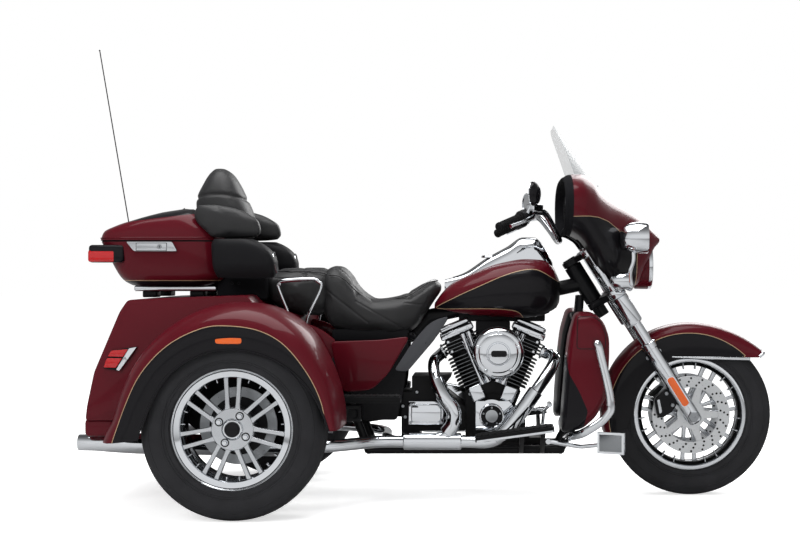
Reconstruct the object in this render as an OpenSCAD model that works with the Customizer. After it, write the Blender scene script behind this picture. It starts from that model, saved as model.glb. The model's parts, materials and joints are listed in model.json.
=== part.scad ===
// Touring motor trike: one steered front wheel, two driven rear wheels, V-twin engine,
// fork-mounted fairing, luggage case with a side-hinged lid and a rear cargo body with a door.
// Millimetres, +X forward, +Y left, +Z up, origin on the floor under the middle of the outline.

/* [Wheels] */
// Distance between the front and rear axles
wheelbase = 1676; // [1600:1:1760]
// Front axle ahead of the middle of the outline
front_axle_x = 1040; // [1020:1:1060]
// Outside radius of the front tyre
front_tyre_r = 316; // [310:1:322]
// Width of the front tyre
front_tyre_w = 130; // [120:1:136]
// Radius of the front rim flange
front_rim_r = 212; // [206:1:218]
// Outside radius of a rear tyre
rear_tyre_r = 322; // [314:1:326]
// Width of a rear tyre
rear_tyre_w = 204; // [190:1:208]
// Radius of a rear rim flange
rear_rim_r = 206; // [200:1:212]
// Pairs of spokes in each wheel
spoke_pairs = 7; // [5:1:9]

/* [Steering] */
// Angle of the steering axis from the vertical
rake = 32; // [28:0.5:34]
// Distance of the fork legs ahead of the steering axis
fork_offset = 80; // [70:1:90]
// Distance of each fork leg from the centre plane
fork_leg_y = 118; // [114:1:124]
// Radius of a fork slider
slider_r = 28; // [25:0.5:29]
// Radius of the front axle
axle_r = 12.5; // [10:0.5:15]
// Radius of the steering stem
stem_r = 19; // [15:0.5:22]

/* [Engine] */
// Angle between the two cylinders
vee_angle = 45; // [45:1:52]
// Width across the cylinder fins
fin_w = 150; // [140:1:154]
// Number of fins on each barrel
fin_count = 9; // [7:1:10]
// Radius of the air cleaner cover
air_cleaner_r = 101; // [90:1:104]
// Radius of the exhaust header pipes
header_r = 23; // [19:0.5:24]
// Radius of the mufflers
muffler_r = 38; // [34:1:40]

/* [Body] */
// Width over the rear fenders
body_w = 1394; // [1388:1:1420]
// Wall thickness of the moulded body panels
panel_t = 5; // [4:0.5:6]
// Width of the luggage case
case_w = 590; // [560:1:620]
// Width of the fuel tank
tank_w = 330; // [310:1:350]
// Width of the fairing
fairing_w = 806; // [760:1:830]
// Length of the antenna whip
whip_len = 900; // [700:1:920]

/* [Hidden] */
$fn = 48;

// Clearances: a running fit, a seat between still pieces and a gap round moving pieces
fit = 0.05;
seat_gap = 0.3;
run_gap = 6;
// Overshoot of cuts past the faces that they open
cut = 1;

// Axles and the steering axis
rear_axle_x = front_axle_x - wheelbase;
front_axle_z = front_tyre_r;
rear_axle_z = rear_tyre_r;
// The fenders reach a lip past the tyres, and the body fits between the tyres
fender_lip = 23;
body_gap = 40;
rear_wheel_y = body_w / 2 - fender_lip - rear_tyre_w / 2;
body_half = rear_wheel_y - rear_tyre_w / 2 - body_gap;

// Colours
RED = "#5a0f1c";
BLACK = "#17171a";
GREY = "#4a4b50";
CHROME = "#c9ccd2";
RUBBER = "#232326";
SILVER = "#b4b7bd";
GLASS = "#dfe7ea";
LAMP_RED = "#c01818";

// Ring of a superellipse: half width a, half height b, exponent e, n points
function super_ring(a, b, e, n) = [for (i = [0:n - 1])
    let (t = 360 * (i + 0.5) / n, c = cos(t), s = sin(t))
    [a * sign(c) * pow(abs(c), 2 / e), b * sign(s) * pow(abs(s), 2 / e)]];

// Ring across X from a station [x, half width, low z, high z, exponent], pulled in by a wall t
function x_ring(st, n, t = 0) = [for (p = super_ring(st[1] - t, (st[3] - st[2]) / 2 - t, st[4], n))
    [st[0], p[0], (st[2] + st[3]) / 2 + p[1]]];

// Ring across Z from a level [z, rear x, front x, half width, exponent], pulled in by a wall t
function z_ring(lv, n, t = 0) = [for (p = super_ring((lv[2] - lv[1]) / 2 - t, lv[3] - t, lv[4], n))
    [(lv[1] + lv[2]) / 2 + p[0], p[1], lv[0]]];

// Middle of a list of points
function centre(pts) = [for (k = [0:len(pts[0]) - 1]) [for (p = pts) p[k]] * [for (p = pts) 1] / len(pts)];

function reversed(list) = [for (i = [len(list) - 1:-1:0]) list[i]];

// Closed skin through rings of equal length, with a flat cap on the first and the last
module skin(rings) {
    n = len(rings[0]);
    m = len(rings);
    sides = [for (i = [0:m - 2], j = [0:n - 1], half = [0, 1])
        let (a = i * n + j, b = i * n + (j + 1) % n)
        half == 0 ? [a, b + n, b] : [a, a + n, b + n]];
    caps = [[for (j = [0:n - 1]) j], [for (j = [n - 1:-1:0]) (m - 1) * n + j]];
    polyhedron([for (r = rings) each r], concat(sides, caps));
}

// Points along a path whose corners are rounded to a bend radius, with k steps in each bend
function unit(v) = v / norm(v);
function bend_path(pts, radius, k = 3) = concat([pts[0]],
    [for (i = [1:len(pts) - 2])
        let (p = pts[i], u = unit(pts[i - 1] - p), w = unit(pts[i + 1] - p),
            half = acos(max(-1, min(1, u * w))) / 2,
            room = min(norm(pts[i - 1] - p), norm(pts[i + 1] - p)) * 0.48,
            d = min(room, radius / tan(max(half, 1))))
        each [for (s = [0:k]) let (f = s / k) p + u * d * pow(1 - f, 2) + w * d * pow(f, 2)]],
    [pts[len(pts) - 1]]);

// Round tube swept along points, with the given number of sides
function frame_at(pts, i) = unit(pts[min(i + 1, len(pts) - 1)] - pts[max(i - 1, 0)]);
function side_of(t, up) = unit(cross(up, t));
module sweep(pts, r, sides = 10, up = [0.31, 0.87, 0.39]) {
    skin([for (i = [0:len(pts) - 1])
        let (t = frame_at(pts, i), a = side_of(t, up), b = cross(t, a))
        [for (j = [0:sides - 1]) let (w = 360 * j / sides) pts[i] + r * (cos(w) * a + sin(w) * b)]]);
}

// Straight round bar between two points
module bar(p, q, r) {
    d = q - p;
    translate(p) rotate([0, acos(d[2] / norm(d)), atan2(d[1], d[0])]) cylinder(r = r, h = norm(d));
}

// The same children on both sides of the centre plane
module both_sides() {
    children();
    mirror([0, 1, 0]) children();
}

// Children moved to the rear axle's x, to a wheel's own axis or into the fork's leaning frame
module at_rear() { translate([rear_axle_x, 0, 0]) children(); }
module at_fork() { translate([front_axle_x, 0, front_axle_z]) rotate([0, -rake, 0]) children(); }
module lying(x, z) { translate([x, 0, z]) rotate([90, 0, 0]) children(); }
function fork_point(p) = [front_axle_x + p[0] * cos(rake) - p[2] * sin(rake), p[1],
    front_axle_z + p[0] * sin(rake) + p[2] * cos(rake)];

// Wheels: sizes shared by a rim and the tyre on it
bead_drop = 16;
rim_wall = 8;
front_bead_w = 86;
rear_bead_w = 158;
front_hub_half = 74;
front_hub_r = 42;
front_spoke_t = 24;
rear_hub_r = 72;
rear_hub_face = 70;
rear_hub_back = -64;
spindle_r = 28;
spindle_end = 48;
rear_disc_r = 146;
rear_disc_t = 8;
front_disc_r = 150;
front_disc_t = 5;
disc_band = 44;
disc_bore_r = 30;
spoke_half_angle = 9;
spoke_w_hub = 22;
spoke_w_rim = 15;

front_spoke_turn = 0.25;
rear_spoke_turn = 0.75;

// Half profile of a tyre as [share of the sidewall height, share of the half width]
TYRE_SHAPE = [[0.04, 0], [0.22, 0.93], [0.45, 1], [0.68, 0.98], [0.86, 0.87], [0.97, 0.66], [1, 0.36]];

module tyre(r, w, rim_r, bead_w) {
    h = r - rim_r;
    bead = bead_w / 2;
    half = concat([[rim_r - bead_drop, bead]],
        [for (p = TYRE_SHAPE) [rim_r + h * p[0], max(bead, w / 2 * p[1])]]);
    tread = concat([for (i = [0:len(half) - 2]) half[i]], [[r, w / 2 * TYRE_SHAPE[6][1]]]);
    rotate_extrude() polygon(concat(tread, [for (p = reversed(tread)) [p[0], -p[1]]]));
}

module rim_barrel(rim_r, bead_w) {
    seat_r = rim_r - bead_drop - seat_gap;
    inner = bead_w / 2 + seat_gap;
    outer = inner + rim_wall;
    rotate_extrude() polygon([[seat_r - rim_wall, -outer], [rim_r, -outer], [rim_r, -inner],
        [seat_r, -inner], [seat_r, inner], [rim_r, inner], [rim_r, outer], [seat_r - rim_wall, outer]]);
}

// Pairs of tapered spokes from the hub to the rim barrel, low and high face along the axis,
// the first pair turned by a share of the step between pairs
module spokes(hub_r, rim_r, low, high, turn) {
    tip = rim_r - bead_drop - rim_wall / 2;
    translate([0, 0, low]) linear_extrude(high - low) union() {
        circle(hub_r + 2);
        for (k = [0:spoke_pairs - 1], side = [-1, 1])
            rotate(360 * (k + turn) / spoke_pairs + side * spoke_half_angle)
                polygon([[hub_r - 8, -spoke_w_hub / 2], [tip, -spoke_w_rim / 2],
                    [tip, spoke_w_rim / 2], [hub_r - 8, spoke_w_hub / 2]]);
    }
}

module rear_rim(side) {
    color(SILVER) translate([0, side * rear_wheel_y, 0]) lying(rear_axle_x, rear_axle_z)
        mirror([0, 0, side > 0 ? 1 : 0])
        difference() {
            union() {
                rim_barrel(rear_rim_r, rear_bead_w);
                spokes(rear_hub_r, rear_rim_r, rear_hub_face - 26, rear_hub_face - 4, rear_spoke_turn);
                translate([0, 0, rear_hub_back]) cylinder(r = rear_hub_r, h = rear_hub_face - rear_hub_back);
                translate([0, 0, rear_hub_back]) cylinder(r = rear_disc_r, h = rear_disc_t);
            }
            translate([0, 0, rear_hub_back - cut])
                cylinder(r = spindle_r + fit, h = spindle_end + seat_gap - rear_hub_back + cut);
        }
}

module rear_tyre(side) {
    color(RUBBER) translate([0, side * rear_wheel_y, 0]) lying(rear_axle_x, rear_axle_z)
        tyre(rear_tyre_r, rear_tyre_w, rear_rim_r, rear_bead_w);
}

module rear_tyre_right() { rear_tyre(-1); }
module rear_tyre_left() { rear_tyre(1); }
module rear_rim_right() { rear_rim(-1); }
module rear_rim_left() { rear_rim(1); }

module front_tyre() {
    color(RUBBER) lying(front_axle_x, front_axle_z)
        tyre(front_tyre_r, front_tyre_w, front_rim_r, front_bead_w);
}

module front_rim() {
    color(SILVER) lying(front_axle_x, front_axle_z) difference() {
        union() {
            rim_barrel(front_rim_r, front_bead_w);
            spokes(front_hub_r, front_rim_r, -front_spoke_t / 2, front_spoke_t / 2, front_spoke_turn);
            translate([0, 0, -front_hub_half]) cylinder(r = front_hub_r, h = 2 * front_hub_half);
        }
        cylinder(r = axle_r + fit, h = 2 * front_hub_half + 2 * cut, center = true);
    }
}

// Floating disc: a brake ring on a spider that bolts to the hub's end face
module front_disc() {
    spider_r = front_disc_r - disc_band;
    translate([0, 0, front_hub_half + seat_gap]) difference() {
        cylinder(r = front_disc_r, h = front_disc_t);
        translate([0, 0, -cut]) cylinder(r = disc_bore_r, h = front_disc_t + 2 * cut);
        for (k = [0:4]) rotate(72 * k) translate([0, 0, -cut]) linear_extrude(front_disc_t + 2 * cut)
            polygon([[front_hub_r + 6, -16], [spider_r - 6, -44], [spider_r - 6, 44], [front_hub_r + 6, 16]]);
    }
}

module front_discs() {
    color(SILVER) lying(front_axle_x, front_axle_z) {
        front_disc();
        mirror([0, 0, 1]) front_disc();
    }
}

// Frame: the head, a backbone under the tank, a cradle round the engine and the seat rails
tube_r = 16;
backbone_r = 28;
rail_z = 186;
head_r = 34;
clamp_low = [538, 570];
clamp_high = [730, 758];
cradle_y = 118;
seat_rail_y = 104;
backbone_front = [612, 0, 821];
backbone_rear = [20, 0, 694];
seat_cross = [-45, 0, 622];
cross_xs = [440, -60];
pivot_half = 180;

// Cradle on one side, from the head down, under the engine and up to the seat rail
CRADLE = [[614, 22, 776], [572, 112, 262], [532, cradle_y, rail_z], [-205, cradle_y, rail_z],
    [-262, cradle_y, 330], [-330, seat_rail_y, 575]];
rear_body_front = 172;
rail_end_x = rear_axle_x + rear_body_front + panel_t / 2;

module tube_run(pts, r) {
    for (i = [0:len(pts) - 2]) bar(pts[i], pts[i + 1], r);
    for (i = [1:len(pts) - 2]) translate(pts[i]) sphere(r * 1.08);
}

module frame() {
    color(BLACK) difference() {
        union() {
            at_fork() translate([-fork_offset, 0, clamp_low[1] + seat_gap])
                cylinder(r = head_r, h = clamp_high[0] - clamp_low[1] - 2 * seat_gap);
            tube_run([backbone_front, backbone_rear, seat_cross], backbone_r);
            translate(seat_cross) sphere(backbone_r * 1.05);
            translate(seat_cross) rotate([90, 0, 0]) cylinder(r = tube_r, h = 2 * seat_rail_y, center = true);
            both_sides() {
                tube_run(CRADLE, tube_r);
                tube_run([[seat_cross[0], seat_rail_y, seat_cross[2]], CRADLE[5],
                    [rail_end_x - panel_t / 2 + seat_gap, seat_rail_y, CRADLE[5][2]]], tube_r);
                translate([seat_cross[0], seat_rail_y, seat_cross[2]]) sphere(tube_r * 1.08);
            }
            for (x = cross_xs) translate([x, 0, rail_z]) rotate([90, 0, 0])
                cylinder(r = tube_r - 2, h = 2 * cradle_y, center = true);
            translate(CRADLE[4] - [0, cradle_y, 0]) rotate([90, 0, 0])
                cylinder(r = tube_r, h = 2 * pivot_half, center = true);
        }
        at_fork() translate([-fork_offset, 0, 0]) cylinder(r = stem_r + fit, h = 2 * clamp_high[1]);
    }
}

// Engine: a crank centre with two leaning cylinders, each built along its own axis
crank = [272, 300];
crank_case_r = 100;
case_half = 100;
case_rear_x = 166;
barrel_base = 140;
barrel_top = 286;
head_top = 350;
rocker_step = 378;
rocker_top = 402;
barrel_r = 56;
barrel_y = 62;
fin_t = 3.2;
deck_w = 118;
gallery_y = 112;
gearbox_rear_x = -80;
gearbox_z = [256, 468];
gearbox_half = 104;
engine_foot_z = rail_z + tube_r - 2 + seat_gap;

// Children in the frame of a cylinder: side -1 leans back, 1 leans forward, local Z along the bore
module at_cylinder(side) {
    translate([crank[0], 0, crank[1]]) rotate([0, side * vee_angle / 2, 0]) children();
}

// Half space on one side of the middle plane of the vee, so that the fins do not meet
module vee_side(side) {
    translate([crank[0] + (side < 0 ? -600 : seat_gap), -300, crank[1]]) cube([600 - seat_gap, 600, 600]);
}

module crankcase() {
    color(BLACK) union() {
        lying(0, 0) linear_extrude(2 * case_half, center = true) union() {
            translate(crank) circle(crank_case_r);
            for (side = [-1, 1]) translate(crank) rotate(-side * vee_angle / 2)
                translate([-deck_w / 2, 0]) square([deck_w, barrel_base - seat_gap]);
            translate([case_rear_x, 216]) square([crank[0] - case_rear_x, 190]);
            translate([crank[0], 214]) square([126, 92]);
        }
        for (side = [-1, 1]) at_cylinder(side) translate([-side * 32 - 24, -gallery_y, 100])
            cube([48, 30, barrel_base - 100 - seat_gap]);
        for (x = [400, 210]) translate([x - 14, -70, engine_foot_z + (x > 300 ? 0 : 6)]) cube([28, 140, 40]);
        translate([cross_xs[0] - 60, -70, engine_foot_z]) cube([80, 140, 26]);
    }
}

// Finned barrel and head on one side of the vee
module cylinder_unit(side) {
    fin_pitch = (barrel_top - barrel_base - 16) / fin_count;
    head_pitch = 13;
    color(BLACK) intersection() {
        vee_side(side);
        at_cylinder(side) union() {
            translate([0, 0, barrel_base]) cylinder(r = barrel_r, h = head_top - barrel_base - 1);
            for (k = [0:fin_count - 1]) translate([0, 0, barrel_base + 16 + k * fin_pitch])
                linear_extrude(fin_t) intersection() {
                    square([fin_w, 2 * barrel_y + 20], center = true);
                    circle(r = fin_w * 0.58);
                }
            for (k = [0:3]) translate([0, 0, barrel_top + 6 + k * head_pitch])
                linear_extrude(fin_t + 1) intersection() {
                    square([fin_w, 2 * barrel_y + 20], center = true);
                    circle(r = fin_w * 0.62);
                }
            translate([0, 0, barrel_top]) linear_extrude(head_top - barrel_top - seat_gap)
                square([fin_w - 26, 2 * barrel_y], center = true);
        }
    }
}

module cylinder_rear() { cylinder_unit(-1); }
module cylinder_front() { cylinder_unit(1); }

// Two-step covers over the valve gear, reaching out over the pushrod tubes on the right
module rocker_covers() {
    rocker_w = 124;
    right_y = -104;
    left_y = 66;
    color(CHROME) for (side = [-1, 1]) at_cylinder(side) {
        translate([0, 0, head_top]) linear_extrude(rocker_step - head_top) intersection() {
            translate([-rocker_w / 2, right_y]) square([rocker_w, left_y - right_y]);
            translate([0, -16]) circle(r = 100);
        }
        translate([0, 0, rocker_step]) linear_extrude(rocker_top - rocker_step) intersection() {
            translate([-rocker_w / 2 + 10, right_y + 22]) square([rocker_w - 20, left_y - right_y - 36]);
            translate([0, -16]) circle(r = 82);
        }
    }
}

// Pushrod tubes with a collar at each end, in pairs that follow the bores
module pushrod_tubes() {
    tube = 10;
    push_y = -93;
    color(CHROME) for (side = [-1, 1], u = [16, 41]) at_cylinder(side) translate([-side * u, push_y, 0]) {
        translate([0, 0, barrel_base]) cylinder(r = tube, h = head_top - barrel_base - seat_gap);
        translate([0, 0, barrel_base]) cylinder(r = tube + 2.5, h = 14);
        translate([0, 0, head_top - 60]) cylinder(r = tube + 2, h = 16);
    }
}

// Air cleaner: a domed cover on a backplate, and the intake that reaches in between the heads
air_centre = [293, 560];
air_back_y = -142;
air_front_y = -224;
intake_r = 22;
module air_cleaner() {
    depth = air_back_y - air_front_y;
    color(CHROME) translate([air_centre[0], air_back_y, air_centre[1]]) rotate([90, 0, 0])
        rotate_extrude() polygon([[0, 0], [air_cleaner_r - 5, 0], [air_cleaner_r, 6], [air_cleaner_r,
            depth - 34],
            [air_cleaner_r - 6, depth - 22], [air_cleaner_r - 18, depth - 12], [air_cleaner_r - 34,
                depth - 6],
            [0, depth]]);
    color(BLACK) difference() {
        translate([crank[0], 0, air_centre[1] + 20]) union() {
            rotate([90, 0, 0]) translate([0, 0, -20]) cylinder(r = intake_r, h = -air_back_y + 20);
            rotate([0, 90, 0]) cylinder(r = intake_r - 4, h = 200, center = true);
        }
        for (side = [-1, 1]) at_cylinder(side)
            translate([-fin_w / 2 - seat_gap, -200, 0]) cube([fin_w + 2 * seat_gap, 400, rocker_top + 40]);
    }
}

// Chrome covers on the right of the engine and the gearbox
cam_cover_t = 28;
cam_boss = [268, 318];
cam_boss_r = 46;
module engine_covers() {
    color(CHROME) lying(0, 0) translate([0, 0, case_half + seat_gap]) {
        linear_extrude(cam_cover_t) union() {
            translate(cam_boss) circle(62);
            intersection() {
                translate([205, 262]) square([150, 112]);
                translate(crank) circle(96);
            }
        }
        translate([cam_boss[0], cam_boss[1], cam_cover_t - cut]) cylinder(r = cam_boss_r, h = 30);
    }
    color(CHROME) lying(0, 0) translate([0, 0, gearbox_half + seat_gap]) {
        linear_extrude(40) translate([-51, 284]) square([137, 90]);
        translate([-38, 296, 39]) linear_extrude(22) square([112, 66]);
    }
}

// Primary drive cover on the left, round over the clutch and over the crank
module primary_cover() {
    clutch = [20, 330];
    clutch_r = 104;
    nose_r = 78;
    color(CHROME) rotate([90, 0, 0]) translate([0, 0, -case_half - 66]) {
        linear_extrude(66 - seat_gap - (gearbox_half - case_half)) union() {
            translate(clutch) circle(clutch_r);
            translate([crank[0] + 8, crank[1] + 8]) circle(nose_r);
            polygon([[clutch[0], clutch[1] - clutch_r], [crank[0] + 8, crank[1] + 8 - nose_r],
                [crank[0] + 8, crank[1] + 8 + nose_r], [clutch[0], clutch[1] + clutch_r]]);
        }
        translate([clutch[0], clutch[1], -10]) cylinder(r = 78, h = 11);
    }
}

module gearbox() {
    color(BLACK) difference() {
        union() {
            lying(0, 0) linear_extrude(2 * gearbox_half, center = true) union() {
                translate([gearbox_rear_x, gearbox_z[0]])
                    square([case_rear_x - seat_gap - gearbox_rear_x, 150]);
                translate([gearbox_rear_x + 40, gearbox_z[0]])
                    square([case_rear_x - seat_gap - gearbox_rear_x - 40, gearbox_z[1] - gearbox_z[0]]);
                translate([cross_xs[1] - 20, engine_foot_z]) square([70, 70]);
            }
            translate([front_pulley[0] - 22, -40, front_pulley[1] - 26])
                cube([gearbox_rear_x - front_pulley[0] + 24, 60, 52]);
        }
        translate([case_rear_x - 90, -gearbox_half - cut, 420]) rotate([0, 38, 0])
            cube([200, 2 * gearbox_half + 2 * cut, 200]);
    }
}

// Exhaust: a header from each head into one run on the right, a balance pipe and two mufflers
muffler_y = body_half - 80;
muffler_front_x = -400;
muffler_z = [226, 242];
tail_x = -616;
tip_r = 30;
pipe_z = 226;
pipe_y = -196;
port_w = 312;
port_y = -30;
function cylinder_point(side, u, y, w) = let (a = vee_angle / 2)
    [crank[0] + side * (u * cos(a) + w * sin(a)), y, crank[1] - u * sin(a) + w * cos(a)];
FRONT_HEADER = [cylinder_point(1, fin_w / 2 + seat_gap, port_y, port_w),
    cylinder_point(1, fin_w / 2 + 40, port_y, port_w), [500, -140, 516],
    [446, -188, 440], [330, pipe_y, 282], [268, pipe_y, pipe_z], [-160, pipe_y, pipe_z],
    [-330, -muffler_y + 20, pipe_z], [muffler_front_x + 2, -muffler_y, pipe_z]];
REAR_HEADER = [cylinder_point(-1, fin_w / 2 + seat_gap, port_y, port_w),
    cylinder_point(-1, fin_w / 2 + 40, port_y, port_w), [44, -140, 512],
    [66, -196, 430], [128, pipe_y - 6, 345], [110, pipe_y - 4, 270], [20, pipe_y - 2, pipe_z + 2]];
BALANCE = [[-90, pipe_y, pipe_z], [-140, -60, pipe_z + 3], [-152, 160, pipe_z + 3],
    [-330, muffler_y - 16, pipe_z], [muffler_front_x + 2, muffler_y, pipe_z]];
module muffler(side) {
    p = [muffler_front_x, side * muffler_y, muffler_z[0]];
    q = [rear_axle_x + tail_x, side * muffler_y, muffler_z[1]];
    d = unit(q - p);
    len = norm(q - p);
    translate(p) rotate([0, -acos(d[2]), 0]) {
        rotate_extrude() polygon([[0, 0], [header_r + 2, 0], [muffler_r, 46], [muffler_r, len - 210],
            [tip_r, len - 60], [tip_r, len], [tip_r - 4, len], [tip_r - 4, len - 60], [0, len - 60]]);
    }
}
module exhaust() {
    color(CHROME) union() {
        sweep(bend_path(FRONT_HEADER, 70), header_r);
        sweep(bend_path(REAR_HEADER, 60), header_r - 1);
        sweep(bend_path(BALANCE, 70), header_r - 4);
        for (side = [-1, 1]) muffler(side);
    }
}

// Fuel tank: stations along X as [x, half width, low z, high z, exponent]
TANK = [[46, 0.36, 722, 748, 2.2], [70, 0.55, 712, 782, 2.4], [110, 0.7, 704, 822, 2.6],
    [200, 0.88, 694, 866, 2.7], [300, 0.98, 688, 904, 2.7], [400, 1, 684, 921, 2.7],
    [460, 0.92, 688, 918, 2.6], [505, 0.72, 704, 893, 2.4], [532, 0.4, 748, 838, 2.2]];
tunnel_half = 82;
tunnel_top = 724;
function tank_stations(grow) = [for (s = TANK)
    [s[0], tank_w / 2 * s[1] + grow, s[2] - grow, s[3] + grow, s[4]]];

module tank_tunnel() {
    bar(backbone_front, backbone_rear, backbone_r + seat_gap);
    translate([0, -tunnel_half, 560]) cube([600, 2 * tunnel_half, tunnel_top - 560]);
}

module fuel_tank() {
    color(RED) difference() {
        skin([for (s = tank_stations(0)) x_ring(s, 20)]);
        tank_tunnel();
    }
}

// Console along the top of the tank, with the gauge hump and the filler cap
CONSOLE = [[84, 20, 780, 838, 2.6], [150, 34, 780, 858, 2.8], [250, 44, 800, 922, 2.8],
    [330, 52, 840, 966, 2.8], [390, 56, 850, 1002, 2.8], [434, 54, 850, 1002, 2.8],
    [470, 46, 850, 972, 2.6], [506, 30, 850, 906, 2.4]];
module tank_console() {
    color(CHROME) difference() {
        skin([for (s = CONSOLE) x_ring(s, 16)]);
        skin([for (s = tank_stations(seat_gap)) x_ring(s, 20)]);
    }
}

// Seats as plain closed pads: stations along X
RIDER_SEAT = [[-344, 150, 646, 892, 3.2], [-318, 168, 642, 888, 3.2], [-286, 178, 640, 852, 3.4],
    [-240, 184, 640, 790, 3.4], [-180, 184, 640, 762, 3.4], [-100, 176, 632, 772, 3.4],
    [-40, 152, 630, 798, 3.2], [10, 122, 714, 830, 2.8], [44, 96, 766, 843, 2.6],
    [66, 66, 796, 830, 2.4]];
PASSENGER_SEAT = [[-592, 150, 740, 866, 2.8], [-568, 178, 726, 878, 3], [-502, 194, 704, 882, 3.2],
    [-432, 196, 700, 886, 3.2], [-382, 186, 698, 890, 3.2], [-348, 160, 700, 892, 3]];
module seat_channel() {
    translate([-90, -backbone_r - 8, 560]) cube([170, 2 * backbone_r + 16, 172]);
    translate([-90, -seat_rail_y - 30, 560])
        cube([170, 2 * seat_rail_y + 60, seat_cross[2] + tube_r * 1.08 + seat_gap - 560]);
}
module rider_seat() {
    color(BLACK) difference() {
        skin([for (s = RIDER_SEAT) x_ring(s, 18)]);
        seat_channel();
    }
}
module passenger_seat() {
    color(BLACK) difference() {
        skin([for (s = PASSENGER_SEAT) x_ring(s, 18)]);
        at_rear() body_solid(seat_gap);
    }
}

// Passenger grab rails beside the seat, standing on the rear body
GRAB_RAIL = [[-478, 690], [-486, 730], [-534, 806], [-520, 838], [-404, 842], [-376, 806], [-428, 716],
    [-476, 688]];
grab_y = 216;
grab_r = 9;
module grab_rails() {
    color(CHROME) difference() {
        both_sides() sweep(bend_path([for (p = GRAB_RAIL) [p[0], grab_y, p[1]]], 26), grab_r, 8);
        at_rear() body_solid(seat_gap);
    }
}

// Rear body: side outline as [x from the rear axle, z], shelled, with an opening for the door
BODY_OUTLINE = [[rear_body_front, 700], [52, 740], [12, 784], [-418, 768], [-447, 726], [-540, 506],
    [-566, 384], [-572, 330], [-205, 330], [-165, 482], [rear_body_front, 482]];
door_half = body_half - 130;
hatch_half = door_half - 16;
hatch_z = [392, 742];

// Outline pulled in by t, for outlines that run anticlockwise in x and z
function inset(pts, t) = [for (i = [0:len(pts) - 1])
    let (a = pts[(i + len(pts) - 1) % len(pts)], b = pts[i], c = pts[(i + 1) % len(pts)],
        u = unit(b - a), w = unit(c - b), n1 = [-u[1], u[0]], n2 = [-w[1], w[0]])
    b + t * (n1 + n2) / (1 + n1 * n2)];

// Outside of the rear body grown by a seat gap, to cut what stands on it
module body_solid(grow) {
    rotate([90, 0, 0]) linear_extrude(2 * body_half, center = true) polygon(inset(BODY_OUTLINE, -grow));
}

module rear_body() {
    color(RED) at_rear() difference() {
        union() {
            rotate([90, 0, 0]) linear_extrude(2 * body_half, center = true) polygon(BODY_OUTLINE);
            translate([-590, -door_half, valance_low]) cube([60, 2 * door_half,
                BODY_OUTLINE[7][1] + 2 - valance_low]);
            for (y = DOOR_EYES) translate([door_hinge[0], y - eye_len / 2, 0]) {
                translate([0, 0, door_hinge[1]]) rotate([-90, 0, 0]) cylinder(r = eye_r, h = eye_len);
                translate([-eye_r, 0, valance_low + 40]) cube([26, eye_len,
                    door_hinge[1] - valance_low - 40]);
            }
        }
        rotate([90, 0, 0]) linear_extrude(2 * (body_half - panel_t), center = true)
            polygon(inset(BODY_OUTLINE, panel_t));
        translate([-700, -hatch_half, hatch_z[0]]) cube([400, 2 * hatch_half, hatch_z[1] - hatch_z[0]]);
        for (y = DOOR_EYES) translate([door_hinge[0], y - eye_len / 2 - cut, door_hinge[1]])
            rotate([-90, 0, 0]) cylinder(r = pin_r + fit, h = eye_len + 2 * cut);
    }
}

// Rear door: a bulged panel outside the hatch, hinged along its lower edge
door_hinge = [-598, 344];
valance_low = 262;
function body_rear_x(z) = lookup(z, [[330, -572], [384, -566], [506, -540], [726, -447], [768, -418]]);
DOOR_LEVELS = [[372, 34, 0.98], [420, 40, 1], [506, 42, 1], [620, 40, 1], [726, 36, 0.98], [756, 20, 0.94]];
module rear_door() {
    color(RED) at_rear() {
        skin([for (l = DOOR_LEVELS)
            let (back = body_rear_x(l[0]) - run_gap, half = door_half * l[2])
            [for (p = [[0, 1], [0, -1], [-0.6, -1], [-0.92, -0.6], [-1, 0], [-0.92, 0.6], [-0.6, 1]])
                [back + p[0] * l[1], -p[1] * half, l[0]]]]);
        for (y = DOOR_EYES) {
            translate([door_hinge[0], y - eye_len / 2 - lug_t, door_hinge[1]]) rotate([-90, 0, 0])
                cylinder(r = pin_r, h = eye_len + 2 * lug_t);
            for (side = [-1, 1])
                translate([door_hinge[0] - 5, y + side * (eye_len / 2 + lug_t / 2 + 0.5) - lug_t / 2,
                    door_hinge[1] - 5])
                    cube([16, lug_t, DOOR_LEVELS[0][0] - door_hinge[1] + 10]);
        }
    }
}

// Hinge eyes and pins shared by the door and the lid
eye_r = 8;
eye_len = 60;
pin_r = 4;
lug_t = 10;
DOOR_EYES = [110 - door_half, door_half - 110];
LID_EYES = [-430, -230];
lid_axis = [case_w / 2 + 12, 985];

// Luggage case: levels as [z, rear x, front x, half width share, exponent, tilt, front x at the middle]
BASE_LEVELS = [[818, -470, -146, 0.86, 4, 0, 0], [832, -494, -112, 0.92, 4.4, 0, 0],
    [858, -514, -94, 0.96, 5, 0, 0], [920, -548, -92, 0.985, 5, 0, 0], [982, -580, -98, 1, 5, 0, 0]];
LID_LEVELS = [[988, -584, -106, 1, 5, 0, -118], [1022, -572, -128, 0.99, 5, 0.02, -142],
    [1062, -520, -172, 0.94, 4.2, 0.09, -206], [1086, -444, -200, 0.8, 3.6, 0.14, -262],
    [1097, -390, -216, 0.6, 3.2, 0.15, -268]];
dent_half = 176;
dent_bow = 7;
tilt_x = -340;
case_ring_n = 32;
function case_ring(lv, t) = [for (p = z_ring([lv[0], lv[1], lv[2], case_w / 2 * lv[3], lv[4]],
    case_ring_n, t))
    let (bow = dent_bow * (1 - pow(p[1] / dent_half, 2)),
        x = abs(p[1]) < dent_half && lv[6] != 0 ? min(p[0], lv[6] - t - bow) : p[0])
    [x, p[1], p[2] + lv[5] * (x - tilt_x)]];
function at_level(ring, dz) = [for (p = ring) [p[0], p[1], p[2] + dz]];

// Outside of the case base grown by a seat gap, to cut what fits against it
module case_solid(grow) {
    skin([for (l = BASE_LEVELS) case_ring(l, -grow)]);
}

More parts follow.
